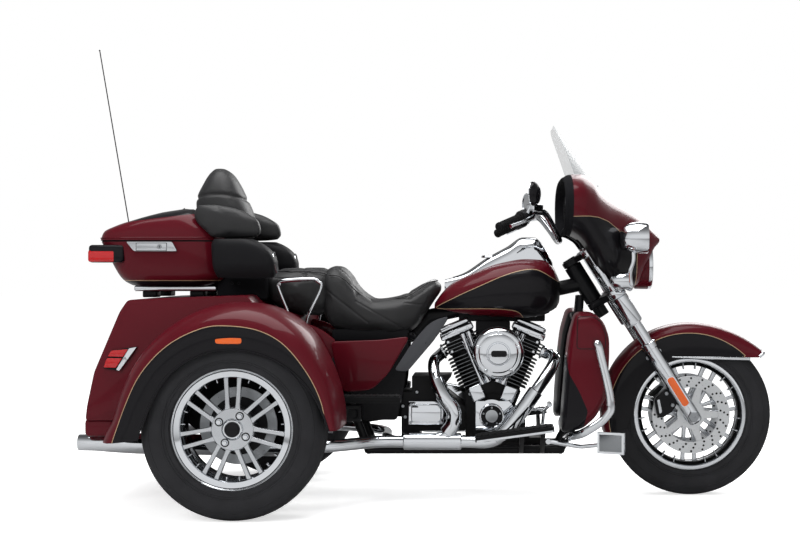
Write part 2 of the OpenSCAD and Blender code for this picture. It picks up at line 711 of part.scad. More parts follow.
module case_base() {
    n = len(BASE_LEVELS);
    color(RED) at_rear() difference() {
        union() {
            skin(concat([for (l = BASE_LEVELS) case_ring(l, 0)],
                [for (i = [n - 1:-1:1]) at_level(case_ring(BASE_LEVELS[i], panel_t), 0)]));
            for (x = LID_EYES) translate([x - eye_len / 2, 0, 0]) {
                translate([0, lid_axis[0], lid_axis[1]]) rotate([0, 90, 0]) cylinder(r = eye_r, h = eye_len);
                translate([0, case_w / 2 - panel_t + 1, 962]) cube([eye_len, 14, 18]);
            }
        }
        for (x = LID_EYES) translate([x - eye_len / 2 - cut, lid_axis[0], lid_axis[1]]) rotate([0, 90, 0])
            cylinder(r = pin_r + fit, h = eye_len + 2 * cut);
    }
}

module case_lid() {
    n = len(LID_LEVELS);
    color(RED) at_rear() union() {
        skin(concat([for (i = [n - 1:-1:0]) at_level(case_ring(LID_LEVELS[i], panel_t), i == n - 1
            ? -panel_t : 0)],
            [for (l = LID_LEVELS) case_ring(l, 0)]));
        for (x = LID_EYES) {
            translate([x - eye_len / 2 - lug_t, lid_axis[0], lid_axis[1]]) rotate([0, 90, 0])
                cylinder(r = pin_r, h = eye_len + 2 * lug_t);
            for (side = [-1, 1]) translate([x - lug_t / 2 + side * (eye_len / 2 + lug_t / 2 + 0.5), 0,
                lid_axis[1]]) {
                translate([0, case_w / 2 + 4, -5]) cube([lug_t, lid_axis[0] - case_w / 2 + 1, 20]);
                translate([0, case_w / 2 - panel_t + 1, 5]) cube([lug_t, lid_axis[0] - case_w / 2 + 9, 10]);
            }
        }
    }
}

// Latch on the right of the case, below the seam
module case_latch() {
    color(CHROME) at_rear() translate([-456, -case_w / 2 - 12, 946])
        difference() {
            cube([192, 14, 36]);
            translate([-cut, 12 - 0.2, -cut]) cube([192 + 2 * cut, 10, 36 + 2 * cut]);
        }
}

// Support under the case: a plate on two pedestals that stand on the rear body
SUPPORT_FEET = [[-400, -130], [-400, 130], [-220, -130], [-220, 130]];
support_z = [750, 796, 818];
module case_support() {
    color(CHROME) at_rear() difference() {
        union() {
            translate([-452, -196, support_z[1]]) cube([312, 392, support_z[2] - support_z[1] - seat_gap]);
            for (p = SUPPORT_FEET) translate([p[0] - 26, p[1] - 40, support_z[0]])
                cube([52, 80, support_z[1] - support_z[0] + cut]);
        }
        body_solid(seat_gap);
    }
}

// Speaker pods at the front corners of the case
POD_LEVELS = [[848, -110, 92, 0.74, 4], [872, -124, 104, 0.9, 4], [928, -132, 100, 1, 4],
    [966, -134, 66, 0.96, 4], [990, -126, 30, 0.8, 3.6]];
pod_y = case_w / 2 + 5;
pod_half = 74;
pod_gap = 8;
module speaker_pods() {
    color(BLACK) at_rear() both_sides() difference() {
        translate([0, pod_y, 0]) skin([for (l = POD_LEVELS) z_ring([l[0], l[1], l[2], pod_half * l[3],
            l[4]], 20)]);
        case_solid(0.4);
    }
}

// Backrest pad on the front of the lid, between two arm pads that reach forward over the pods
BACKREST = [[994, -136, -30, 112, 3.4], [1024, -156, -22, 128, 3.2], [1060, -198, -26, 138, 3],
    [1120, -206, -40, 138, 2.8], [1170, -236, -62, 128, 2.6], [1220, -218, -86, 104, 2.4],
    [1256, -200, -112, 70, 2.2], [1275, -184, -138, 34, 2]];
ARM_LEVELS = [[998, -150, 30, 32, 3.2], [1020, -168, 44, 38, 3.2], [1056, -204, 36, 40, 3],
    [1086, -214, -4, 38, 2.8], [1108, -206, -60, 32, 2.6], [1122, -198, -130, 22, 2.4]];
arm_y = case_w / 2 - 33;
module backrest() {
    color(BLACK) at_rear() difference() {
        union() {
            skin([for (l = BACKREST) z_ring(l, 18)]);
            both_sides() translate([0, arm_y, 0]) skin([for (l = ARM_LEVELS) z_ring(l, 16)]);
        }
        skin([for (l = LID_LEVELS) case_ring(l, -seat_gap)]);
    }
}

// Antenna on a bracket below the left lamp at the rear corner of the case
whip_r = 2.4;
whip_foot = [-566, case_w / 2 + 17, 900];
whip_drop = [0, 0, -20];
whip_top_x = -(front_axle_x + front_tyre_r) - rear_axle_x + whip_r;
module antenna() {
    run = whip_top_x - whip_foot[0];
    color(BLACK) at_rear() union() {
        bar(whip_foot + whip_drop, whip_foot + [run * 0.04, 0, 36], 9);
        bar(whip_foot, [whip_top_x, whip_foot[1], whip_foot[2] + sqrt(whip_len * whip_len - run * run)],
            whip_r);
        difference() {
            bar(whip_foot + whip_drop, [-470, case_w / 2 - 33, whip_foot[2] + whip_drop[2]], 8);
            case_solid(0.4);
        }
    }
}

// Rear fenders: stations round the rear axle as [angle, crown radius, arch radius]
FENDER = [[0, 374, 340], [15, 377, 320], [35, 391, 303], [55, 420, 290], [75, 431, 283], [95, 428, 280],
    [115, 420, 281], [135, 415, 284], [155, 413, 285], [173, 420, 296], [186, 463, 318]];
fender_out = body_w / 2;
fender_in = body_half + seat_gap;
// Section as [share of the way out, fall below the crown as a share of the crown's height over the arch]
FENDER_SECTION = [[0, -0.06], [0.3, -0.075], [0.55, -0.04], [0.74, 0.05], [0.88, 0.19], [0.96, 0.37],
    [1, 0.6], [0.99, 1]];
function fender_ring(st, t) = let (w = fender_out - fender_in, h = st[1] - st[2])
    [for (p = FENDER_SECTION) let (r = st[1] - p[1] * h - t * (1 - p[1] * p[1]),
        y = fender_in + p[0] * w - t * p[1])
        [r * cos(st[0]), y, r * sin(st[0])]];
module rear_fenders() {
    color(RED) translate([rear_axle_x, 0, rear_axle_z]) both_sides()
        skin([for (st = FENDER) concat(fender_ring(st, 0), reversed(fender_ring([st[0], st[1], st[2], 0],
            panel_t)))]);
}

// Lamps at the back: two round the case corners and two on the sides of the rear body
CASE_LAMP = [[-600, 190, 902], [135, case_w / 2 - 188, 68]];
TAIL_LAMP = [[-504, 521], [-445, 511], [-379, 599], [-476, 586]];
tail_lamp_t = 16;
module rear_lamps() {
    color(LAMP_RED) at_rear() both_sides() {
        difference() {
            translate(CASE_LAMP[0]) cube(CASE_LAMP[1]);
            case_solid(seat_gap);
        }
        translate([0, fender_in + tail_lamp_t, 0]) rotate([90, 0, 0]) linear_extrude(tail_lamp_t)
            polygon(TAIL_LAMP);
    }
}

// Side covers and air deflectors: outlines in x and z, on bosses that reach the frame
SIDE_COVER = [[-343, 606], [-266, 420], [-155, 436], [-124, 482], [-40, 626], [-155, 612]];
DEFLECTOR = [[94, 698], [46, 684], [-62, 490], [-92, 414], [-34, 410], [98, 632]];
cover_y = 206;
cover_t = 10;
deflector_y = 228;
COVER_BOSSES = [[-200, 596.4], [-290, 455]];
module side_covers() {
    color(RED) both_sides() {
        translate([0, cover_y + cover_t, 0]) rotate([90, 0, 0]) linear_extrude(cover_t) polygon(SIDE_COVER);
        for (b = COVER_BOSSES) {
            tube_y = b[1] > 500 ? seat_rail_y : lookup(b[1], [[330, cradle_y], [575, seat_rail_y]]);
            translate([b[0], cover_y + cut, b[1]]) rotate([90, 0, 0])
                cylinder(r = 9, h = cover_y + cut - tube_y - tube_r - 2 * seat_gap);
        }
    }
}
module air_deflectors() {
    foot = [seat_cross[0], seat_rail_y, seat_cross[2]];
    pad = [24, deflector_y + 2, 600];
    d = unit(pad - foot);
    color(GREY) both_sides() {
        translate([0, deflector_y + 5, 0]) rotate([90, 0, 0]) linear_extrude(5) polygon(DEFLECTOR);
        bar(foot + d * (tube_r * 1.08 + seat_gap), pad, 7);
    }
}

// Lower fairings: an outline drawn in towards both ends, as [y, share of the outline]
LOWER = [[577, 721], [642, 721], [681, 687], [701, 629], [701, 561], [696, 470], [687, 399], [650, 332],
    [602, 289], [522, 272], [528, 380], [536, 470], [540, 539], [552, 635]];
LOWER_RINGS = [[158, 0.8], [182, 0.93], [260, 1], [344, 0.99], [380, 0.93], [392, 0.8]];
module lower_fairings() {
    mid = centre(LOWER);
    color(RED) both_sides() skin([for (r = LOWER_RINGS)
        [for (p = LOWER) [mid[0] + (p[0] - mid[0]) * r[1], r[0], mid[1] + (p[1] - mid[1]) * r[1]]]]);
}

// Engine guard: a tube from the cradle out, up and in to the lower fairing on each side
GUARD = [[556, 132, 232], [562, 300, 258], [606, 412, 286], [684, 414, 336], [698, 414, 396],
    [660, 414, 576], [650, 414, 610], [650, 392.6, 610]];
guard_r = 16;
module engine_guard() { color(CHROME) both_sides() sweep(bend_path(GUARD, 40), guard_r); }

// Footboards: a rider's board on two arms from the cradle and a passenger's board on one arm
board_t = 18;
board_y = 280;
board_w = 110;
board_tilt = 7.7;
BOARD_ARMS = [380, 460];
arm_t = 16;
rail_face = cradle_y + tube_r + seat_gap;
function board_low(x) = 246 + (x - 208) * tan(board_tilt);
module footboards() {
    color(BLACK) both_sides() {
        translate([208, board_y, 246]) rotate([0, -board_tilt, 0]) cube([292, board_w, board_t]);
        for (x = BOARD_ARMS) translate([x + arm_t / 2, 0, 0]) rotate([0, -90, 0]) linear_extrude(arm_t)
            polygon([[board_low(x) - 20, board_y + 6], [board_low(x) + 6, board_y + 6],
                [206, 172], [198, rail_face], [174, rail_face], [182, 178]]);
        translate([-292, board_y + 6, 388]) cube([224, 90, 22]);
        translate([-294, 131, 388]) cube([24, board_y - 120, 20]);
    }
}

// Brake pedal on the right and heel-and-toe shift lever on the left, each on a shaft beside an arm
pedal_shaft = [BOARD_ARMS[1] + arm_t / 2 + seat_gap + 10, 236];
shift_elbow = [484, 266, 298];
module foot_controls() {
    color(CHROME) {
        translate([pedal_shaft[0], -240, pedal_shaft[1]]) rotate([90, 0, 0]) cylinder(r = 10, h = 44);
        sweep(bend_path([[pedal_shaft[0], -272, pedal_shaft[1]], [600, -276, 216], [700, -322, 232]],
            60), 8, 10);
        translate([708, -330, 236]) rotate([0, 0, -24]) cube([104, 14, 80], center = true);
        translate([pedal_shaft[0], 284, pedal_shaft[1]]) rotate([90, 0, 0]) cylinder(r = 10, h = 44);
        bar([250, 266, 330], shift_elbow, 7);
        bar(shift_elbow, [508, 266, 322], 7);
        bar([pedal_shaft[0], 266, pedal_shaft[1]], shift_elbow, 7);
        translate(shift_elbow) sphere(8);
        for (p = [[250, 258, 330], [508, 258, 322]]) translate(p) rotate([-90, 0, 0]) cylinder(r = 10,
            h = 60);
    }
}

// Swingarm on the frame's pivot, with saddles under the axle housing
pivot = [-262, 330];
arm_in = 140;
arm_out = 176;
housing_r = 42;
module swingarm() {
    len = pivot[0] - rear_axle_x;
    color(BLACK) difference() {
        union() {
            both_sides() translate([rear_axle_x, arm_in, 300]) cube([len + 32, arm_out - arm_in, 60]);
            translate([pivot[0] - 90, -arm_in - 1, 312]) cube([44, 2 * arm_in + 2, 36]);
        }
        lying(rear_axle_x, rear_axle_z) cylinder(r = housing_r + seat_gap, h = 800, center = true);
        lying(pivot[0], pivot[1]) cylinder(r = tube_r + seat_gap, h = 800, center = true);
    }
}

// Rear axle: housing with the differential, a caliper bracket at each end and the spindles
module rear_axle() {
    hub_in = rear_wheel_y + rear_hub_back - run_gap;
    color(BLACK) lying(rear_axle_x, rear_axle_z) union() {
        cylinder(r = housing_r, h = 2 * hub_in, center = true);
        cylinder(r = 84, h = 84, center = true);
        cylinder(r = spindle_r, h = 2 * (rear_wheel_y + spindle_end), center = true);
        for (s = [-1, 1]) translate([0, 0, s * (hub_in - 7)]) cylinder(r = 92, h = 14, center = true);
    }
}

// Air shocks between the swingarm and the floor of the rear body
module rear_shocks() {
    foot = 360 + seat_gap;
    top = 482 - seat_gap;
    color(BLACK) both_sides() translate([rear_axle_x + 90, (arm_in + arm_out) / 2, 0]) {
        translate([0, 0, foot]) cylinder(r = 17, h = top - foot);
        translate([0, 0, foot + 30]) cylinder(r = 28, h = top - foot - 48);
    }
}

// Drive belt: one fixed loop round the gearbox pulley and the axle pulley
belt_y = 62;
belt_w = 28;
belt_t = 6;
front_pulley = [-130, 330];
front_pulley_r = 38;
rear_pulley_r = 106;
module belt_loop(grow) {
    translate(front_pulley) circle(front_pulley_r + grow);
    translate([rear_axle_x, rear_axle_z]) circle(rear_pulley_r + grow);
    polygon([[front_pulley[0], front_pulley[1] - front_pulley_r - grow],
        [front_pulley[0], front_pulley[1] + front_pulley_r + grow],
        [rear_axle_x, rear_axle_z + rear_pulley_r + grow], [rear_axle_x,
            rear_axle_z - rear_pulley_r - grow]]);
}
module drive_belt() {
    color(RUBBER) translate([0, belt_y + belt_w, 0]) rotate([90, 0, 0]) linear_extrude(belt_w) difference() {
        belt_loop(belt_t);
        belt_loop(0);
    }
    color(BLACK) translate([0, belt_y + belt_w, 0]) rotate([90, 0, 0]) {
        translate([rear_axle_x, rear_axle_z, 0]) difference() {
            cylinder(r = rear_pulley_r - seat_gap, h = belt_w);
            translate([0, 0, -cut]) cylinder(r = housing_r + seat_gap, h = belt_w + 2 * cut);
        }
        translate([front_pulley[0], front_pulley[1], 0]) cylinder(r = front_pulley_r - seat_gap, h = belt_w);
        translate([front_pulley[0], front_pulley[1], 0]) cylinder(r = 14,
            h = belt_y + belt_w - 20 - seat_gap);
    }
}

// Fork in its own leaning frame: sliders, stanchions, covers, two clamps, the stem and the axle
axle_half = 150;
module clamp(z, leg_grip) {
    translate([0, 0, z[0]]) linear_extrude(z[1] - z[0]) union() {
        for (s = [-1, 1]) translate([0, s * fork_leg_y]) circle(leg_grip);
        translate([-fork_offset, 0]) circle(head_r);
        polygon([[leg_grip, fork_leg_y], [leg_grip, -fork_leg_y], [-12, -fork_leg_y - 20],
            [-fork_offset - 20, -24],
            [-fork_offset - 20, 24], [-12, fork_leg_y + 20]]);
    }
}
module fork() {
    spacer = front_hub_half + seat_gap + front_disc_t + 1.5;
    color(CHROME) at_fork() union() {
        both_sides() translate([0, fork_leg_y, 0]) {
            translate([0, 0, -30]) cylinder(r = slider_r, h = 360);
            translate([0, 0, 329]) cylinder(r = slider_r - 4, h = clamp_high[1] - 329);
            translate([0, 0, 420]) cylinder(r = slider_r + 6, h = clamp_low[0] - 419);
        }
        clamp(clamp_low, slider_r + 8);
        clamp(clamp_high, slider_r + 8);
        translate([-fork_offset, 0, clamp_low[0] + cut]) cylinder(r = stem_r,
            h = clamp_high[1] - clamp_low[0] - 2 * cut);
        rotate([90, 0, 0]) cylinder(r = axle_r, h = 2 * axle_half, center = true);
        both_sides() rotate([-90, 0, 0]) translate([0, 0, spacer]) cylinder(r = 20, h = fork_leg_y - spacer);
    }
}

// Handlebar on two risers: half path from the middle to the right end
BAR_HALF = [[530, 0, 992], [528, -70, 994], [466, -246, 1088], [404, -320, 1082], [297, -446, 1032]];
bar_r = 12.7;
module handlebar() {
    left = [for (i = [len(BAR_HALF) - 1:-1:1]) [BAR_HALF[i][0], -BAR_HALF[i][1], BAR_HALF[i][2]]];
    right = [for (i = [1:len(BAR_HALF) - 1]) BAR_HALF[i]];
    color(CHROME) {
        sweep(bend_path(concat(left, right), 60), bar_r, 10, [0.2, 0.1, 0.97]);
        at_fork() both_sides() translate([-fork_offset, 40, clamp_high[1] + seat_gap]) cylinder(r = 15,
            h = 78);
    }
}

// Grips over the straight ends of the bar
grip_len = 118;
grip_r = 18;
function bar_axis() = unit(BAR_HALF[4] - BAR_HALF[3]);
module grips() {
    tip = BAR_HALF[4];
    d = bar_axis();
    color(RUBBER) both_sides() mirror([0, 1, 0]) difference() {
        bar(tip - d * grip_len, tip + d * 6, grip_r);
        bar(tip - d * (grip_len + cut), tip + d * seat_gap, bar_r + seat_gap);
    }
}

// Hand controls: a clamp on the bar with its lever, reservoir, mirror stem and mirror
module hand_controls() {
    d = bar_axis();
    perch = BAR_HALF[4] - d * (grip_len + 22);
    lever = [perch + [26, -4, 2], perch + [46, -16, 2], BAR_HALF[4] + [52, 14, -2],
        BAR_HALF[4] + [56, -6, -6]];
    stem = [perch + [10, 6, 18], perch + [22, -22, 50], perch + [42, -66, 82]];
    color(CHROME) both_sides() mirror([0, 1, 0]) {
        difference() {
            union() {
                bar(perch - d * 18, perch + d * 18, 20);
                translate(perch + [14, 2, 20]) cube([56, 42, 26], center = true);
                sweep(bend_path(lever, 30), 6, 8);
                sweep(bend_path(stem, 30), 5, 8);
                translate(stem[2]) rotate([0, 90, 20]) rotate_extrude()
                    polygon([[0, -8], [46, -8], [50, -4], [48, 4], [30, 14], [0, 18]]);
            }
            bar(perch - d * 60, perch + d * 60, bar_r + seat_gap);
        }
    }
}

// Fairing: stations along X, a shell open at the back, cut for the fork and the headlamp
FAIRING = [[919, 0.07, 986, 1000, 2], [900, 0.15, 956, 1021, 2.2], [870, 0.26, 890, 1049, 2.4],
    [830, 0.36, 818, 1080, 2.6], [780, 0.49, 808, 1110, 2.7], [730, 0.62, 828, 1140, 2.8],
    [680, 0.77, 872, 1182, 2.8], [640, 0.88, 930, 1228, 2.7], [600, 0.97, 985, 1242, 2.6],
    [560, 1, 1008, 1238, 2.6], [540, 0.99, 1012, 1226, 2.6]];
fairing_n = 28;
function fairing_ring(st, t) = x_ring([st[0], fairing_w / 2 * st[1], st[2], st[3], st[4]], fairing_n, t);
fork_cut_half = fairing_w * 0.2134;
headlamp_z = 893;
headlamp_r = 92;
headlamp_front = 896;
module fairing_solid(grow) { skin(reversed([for (s = FAIRING) fairing_ring(s, -grow)])); }
module fairing_outer() {
    n = len(FAIRING);
    color(RED) difference() {
        skin(concat([for (i = [1:n - 1]) fairing_ring([FAIRING[i][0] - (i == 1 ? panel_t : 0),
            each [for (k = [1:4]) FAIRING[i][k]]], panel_t)],
            [for (i = [n - 1:-1:0]) fairing_ring(FAIRING[i], 0)]));
        translate([540, -fork_cut_half, 700]) cube([262, 2 * fork_cut_half, 318]);
        translate([700, 0, headlamp_z]) rotate([0, 90, 0]) cylinder(r = headlamp_r + seat_gap, h = 240);
    }
}

// Inner fairing: the instrument panel that closes the shell, on brackets from the fork tops
module fairing_inner() {
    panel_x = [541, 559];
    wall = panel_t + seat_gap + 0.4;
    color(BLACK) union() {
        skin([for (x = panel_x)
            let (s = [x, 1, lookup(x, [[540, 1012], [560, 1008], [600, 985]]), lookup(x, [[540, 1226],
                [560, 1238], [600, 1242]]), 2.6])
            x_ring([s[0], fairing_w / 2 * 0.985, s[2], s[3], s[4]], fairing_n, wall)]);
        both_sides() {
            at_fork() translate([0, fork_leg_y, clamp_high[1] + seat_gap]) cylinder(r = 12, h = 56);
            bar(fork_point([0, fork_leg_y, clamp_high[1] + 46]), [panel_x[0] + 12, fork_leg_y, 1030], 10);
        }
    }
}

// Windshield: a bowed sheet on top of the fairing, as [z, x at the middle, x at the sides, half width]
SCREEN = [[1190, 676, 592, 262], [1250, 640, 572, 248], [1310, 598, 551, 226], [1372, 552, 526, 190],
    [1416, 518, 508, 140], [1431, 506, 503, 92]];
screen_t = 4.5;
screen_n = 8;
function screen_row(l, back) = [for (i = [0:screen_n]) let (f = 2 * i / screen_n - 1)
    [l[1] - back + (l[2] - l[1]) * f * f, l[3] * f, l[0]]];
module windshield() {
    color(GLASS, 0.4) difference() {
        skin([for (l = SCREEN) concat(screen_row(l, 0), reversed(screen_row(l, screen_t)))]);
        fairing_solid(seat_gap);
    }
}

// Front lamps: the headlamp in the nose and a lamp bar with a passing lamp and a turn signal on each side
passing = [747, 235, 997];
passing_r = 60;
passing_len = 112;
signal = [712, 258, 836];
signal_r = 32;
signal_len = 70;
module bullet(len, r) {
    rotate([0, 90, 0]) rotate_extrude() polygon([[0, 0], [r * 0.42, 0], [r * 0.76, len * 0.16],
        [r * 0.94, len * 0.42], [r, len * 0.66],
        [r, len * 0.9], [r * 0.86, len * 0.97], [0, len]]);
}
module front_lamps() {
    bar_at = fork_point([slider_r + 24, 0, (clamp_low[0] + clamp_low[1]) / 2 - 6]);
    color(CHROME) {
        translate([headlamp_front - 96, 0, headlamp_z]) rotate([0, 90, 0]) rotate_extrude()
            polygon([[0, 0], [headlamp_r - 30, 0], [headlamp_r, 30], [headlamp_r, 84], [headlamp_r - 10,
                90], [0, 96]]);
        difference() {
            union() {
                both_sides() {
                    translate(passing) bullet(passing_len, passing_r);
                    translate(signal) bullet(signal_len, signal_r);
                    sweep(bend_path([[bar_at[0], 0, bar_at[2]], [bar_at[0], 236, bar_at[2]],
                        [passing[0] + 52, passing[1] + 4, 880],
                        [passing[0] + 52, passing[1], passing[2] - 40]], 40), 9, 10, [1, 0, 0.2]);
                    bar([signal[0] + 40, signal[1], signal[2]], [bar_at[0], 232, bar_at[2] + 4], 8);
                }
                at_fork() translate([slider_r + 8 + seat_gap, -24, clamp_low[0] + 4]) cube([20, 48, 22]);
            }
            fairing_solid(seat_gap + 0.2);
        }
    }
}

// Front fender: stations round the front axle as [angle, crown radius, skirt radius]
FRONT_FENDER = [[192, 342, 252], [180, 345, 230], [160, 348, 223], [140, 350, 222], [120, 352, 222],
    [100, 353, 223], [85, 353, 225], [70, 355, 238], [55, 362, 272], [46, 368, 308], [40.5, 372, 342]];
front_fender_half = 88;
fender_wall = 4;
FRONT_SECTION = [[1, 1], [1, 0.42], [0.95, 0.24], [0.8, 0.1], [0.52, 0.02], [0, 0]];
function front_arc(st, t) = [for (p = FRONT_SECTION)
    let (r = st[1] - p[1] * (st[1] - st[2]) - t * (0.9 - p[1])) [p[0] * (front_fender_half - t), r]];
function front_ring(st) = let (o = front_arc(st, 0), i = front_arc(st, fender_wall), n = len(o),
    loop = concat(o, [for (k = [n - 2:-1:0]) [-o[k][0], o[k][1]]], [for (k = [0:n - 1]) [-i[k][0], i[k][1]]],
        [for (k = [n - 2:-1:0]) i[k]]))
    [for (p = loop) [p[1] * cos(st[0]), p[0], p[1] * sin(st[0])]];
module front_fender() {
    color(RED) union() {
        translate([front_axle_x, 0, front_axle_z]) skin([for (s = FRONT_FENDER) front_ring(s)]);
        at_fork() both_sides() translate([0, front_fender_half - 1, 276]) rotate([-90, 0, 0])
            cylinder(r = 14, h = fork_leg_y - slider_r - front_fender_half + 1 - seat_gap);
    }
}

// Front calipers behind the fork legs, each with a slot for its disc
module front_calipers() {
    disc_in = front_hub_half + seat_gap;
    color(BLACK) at_fork() both_sides() difference() {
        translate([-118, disc_in - 14, 52]) cube([98, fork_leg_y + 6 - disc_in + 14, 92]);
        translate([0, disc_in - run_gap, 0]) rotate([-90, 0, 0])
            cylinder(r = front_disc_r + run_gap, h = front_disc_t + 2 * run_gap);
        translate([0, fork_leg_y, 0]) cylinder(r = slider_r + seat_gap, h = 400);
        translate([-30, disc_in - 20, 40]) cube([40, 30, 120]);
    }
}

frame();
crankcase();
cylinder_rear();
cylinder_front();
rocker_covers();
pushrod_tubes();
air_cleaner();
engine_covers();
primary_cover();
gearbox();
exhaust();
fuel_tank();
tank_console();
rider_seat();
passenger_seat();
grab_rails();
case_base();
case_latch();
case_support();
backrest();
speaker_pods();
antenna();
rear_body();
rear_fenders();
rear_lamps();
side_covers();
air_deflectors();
lower_fairings();
engine_guard();
footboards();
foot_controls();
swingarm();
rear_axle();
rear_shocks();
drive_belt();
case_lid();
rear_door();
fork();
handlebar();
grips();
hand_controls();
fairing_outer();
fairing_inner();
windshield();
front_lamps();
front_fender();
front_calipers();
front_tyre();
front_rim();
front_discs();
rear_tyre_right();
rear_rim_right();
rear_tyre_left();
rear_rim_left();
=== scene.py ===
"""Looks of a touring motor trike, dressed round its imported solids.

Each sub-assembly is a class that holds its sizes in millimetres and builds its meshes in the frame of the
solids: +X forward, +Y left, +Z up, origin on the floor under the middle of the outline.
"""
from __future__ import annotations

import json
import logging
from dataclasses import dataclass, field, replace
from enum import Enum
from math import atan2, cos, degrees, hypot, pi, radians, sin
from typing import Callable, Iterable, Sequence

import bmesh
import bpy
import numpy as np
from bpy.types import ID, Material, Mesh, Node, NodeSocket, NodeTree, Object
from mathutils import Matrix, Quaternion, Vector

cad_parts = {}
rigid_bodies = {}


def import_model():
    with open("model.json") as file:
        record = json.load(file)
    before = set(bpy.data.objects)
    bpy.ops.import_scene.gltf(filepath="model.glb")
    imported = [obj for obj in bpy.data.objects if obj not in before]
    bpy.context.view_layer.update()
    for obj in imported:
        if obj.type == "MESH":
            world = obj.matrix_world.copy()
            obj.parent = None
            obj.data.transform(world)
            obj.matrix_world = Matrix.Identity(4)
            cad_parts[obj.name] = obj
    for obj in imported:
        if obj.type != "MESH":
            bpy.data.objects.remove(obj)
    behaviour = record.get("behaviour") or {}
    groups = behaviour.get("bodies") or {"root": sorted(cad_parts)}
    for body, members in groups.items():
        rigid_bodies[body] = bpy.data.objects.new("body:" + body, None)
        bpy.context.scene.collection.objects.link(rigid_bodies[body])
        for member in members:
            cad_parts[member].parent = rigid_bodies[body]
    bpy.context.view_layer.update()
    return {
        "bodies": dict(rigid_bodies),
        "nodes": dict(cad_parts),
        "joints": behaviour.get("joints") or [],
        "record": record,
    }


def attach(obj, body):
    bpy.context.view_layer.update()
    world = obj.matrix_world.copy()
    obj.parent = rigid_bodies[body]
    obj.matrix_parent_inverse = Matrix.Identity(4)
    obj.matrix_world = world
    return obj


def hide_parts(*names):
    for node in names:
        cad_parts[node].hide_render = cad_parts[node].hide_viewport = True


LOG = logging.getLogger("trike")
MM = 0.001
FRONT_AXLE = (1040, 0, 316)
REAR_X = -636.0
Point = Sequence[float]
Rows = Sequence[Point]


class Body(str, Enum):
    """Rigid bodies that a piece can ride on."""

    CHASSIS = "chassis"
    STEERING = "steering"
    FRONT_WHEEL = "front_wheel"
    RIGHT_WHEEL = "rear_wheel_right"
    LEFT_WHEEL = "rear_wheel_left"
    LID = "case_lid"
    DOOR = "rear_door"


def linear(hex_colour: str) -> tuple[float, float, float, float]:
    """Turn an sRGB hex colour into linear values.

    Args:
        hex_colour: six hex digits after a hash sign.

    Returns:
        Linear red, green, blue and an alpha of 1.
    """
    parts = [int(hex_colour[i:i + 2], 16) / 255 for i in (1, 3, 5)]
    rgb = [c / 12.92 if c <= 0.04045 else ((c + 0.055) / 1.055) ** 2.4 for c in parts]
    return (rgb[0], rgb[1], rgb[2], 1.0)


def add_node(tree: NodeTree, kind: str, settings: dict | None = None,
             links: dict | None = None) -> Node:
    """Add one node with its settings and its links.

    Args:
        tree: node tree that takes the node.
        kind: node type.
        settings: node attributes, or socket values where the key names an input or is its number.
        links: input name or number to the output socket that feeds it.

    Returns:
        The new node.
    """
    node = tree.nodes.new(kind)
    for key, value in (settings or {}).items():
        if isinstance(key, str) and hasattr(node, key):
            setattr(node, key, value)
        else:
            node.inputs[key].default_value = value
    for key, socket in (links or {}).items():
        tree.links.new(socket, node.inputs[key])
    return node


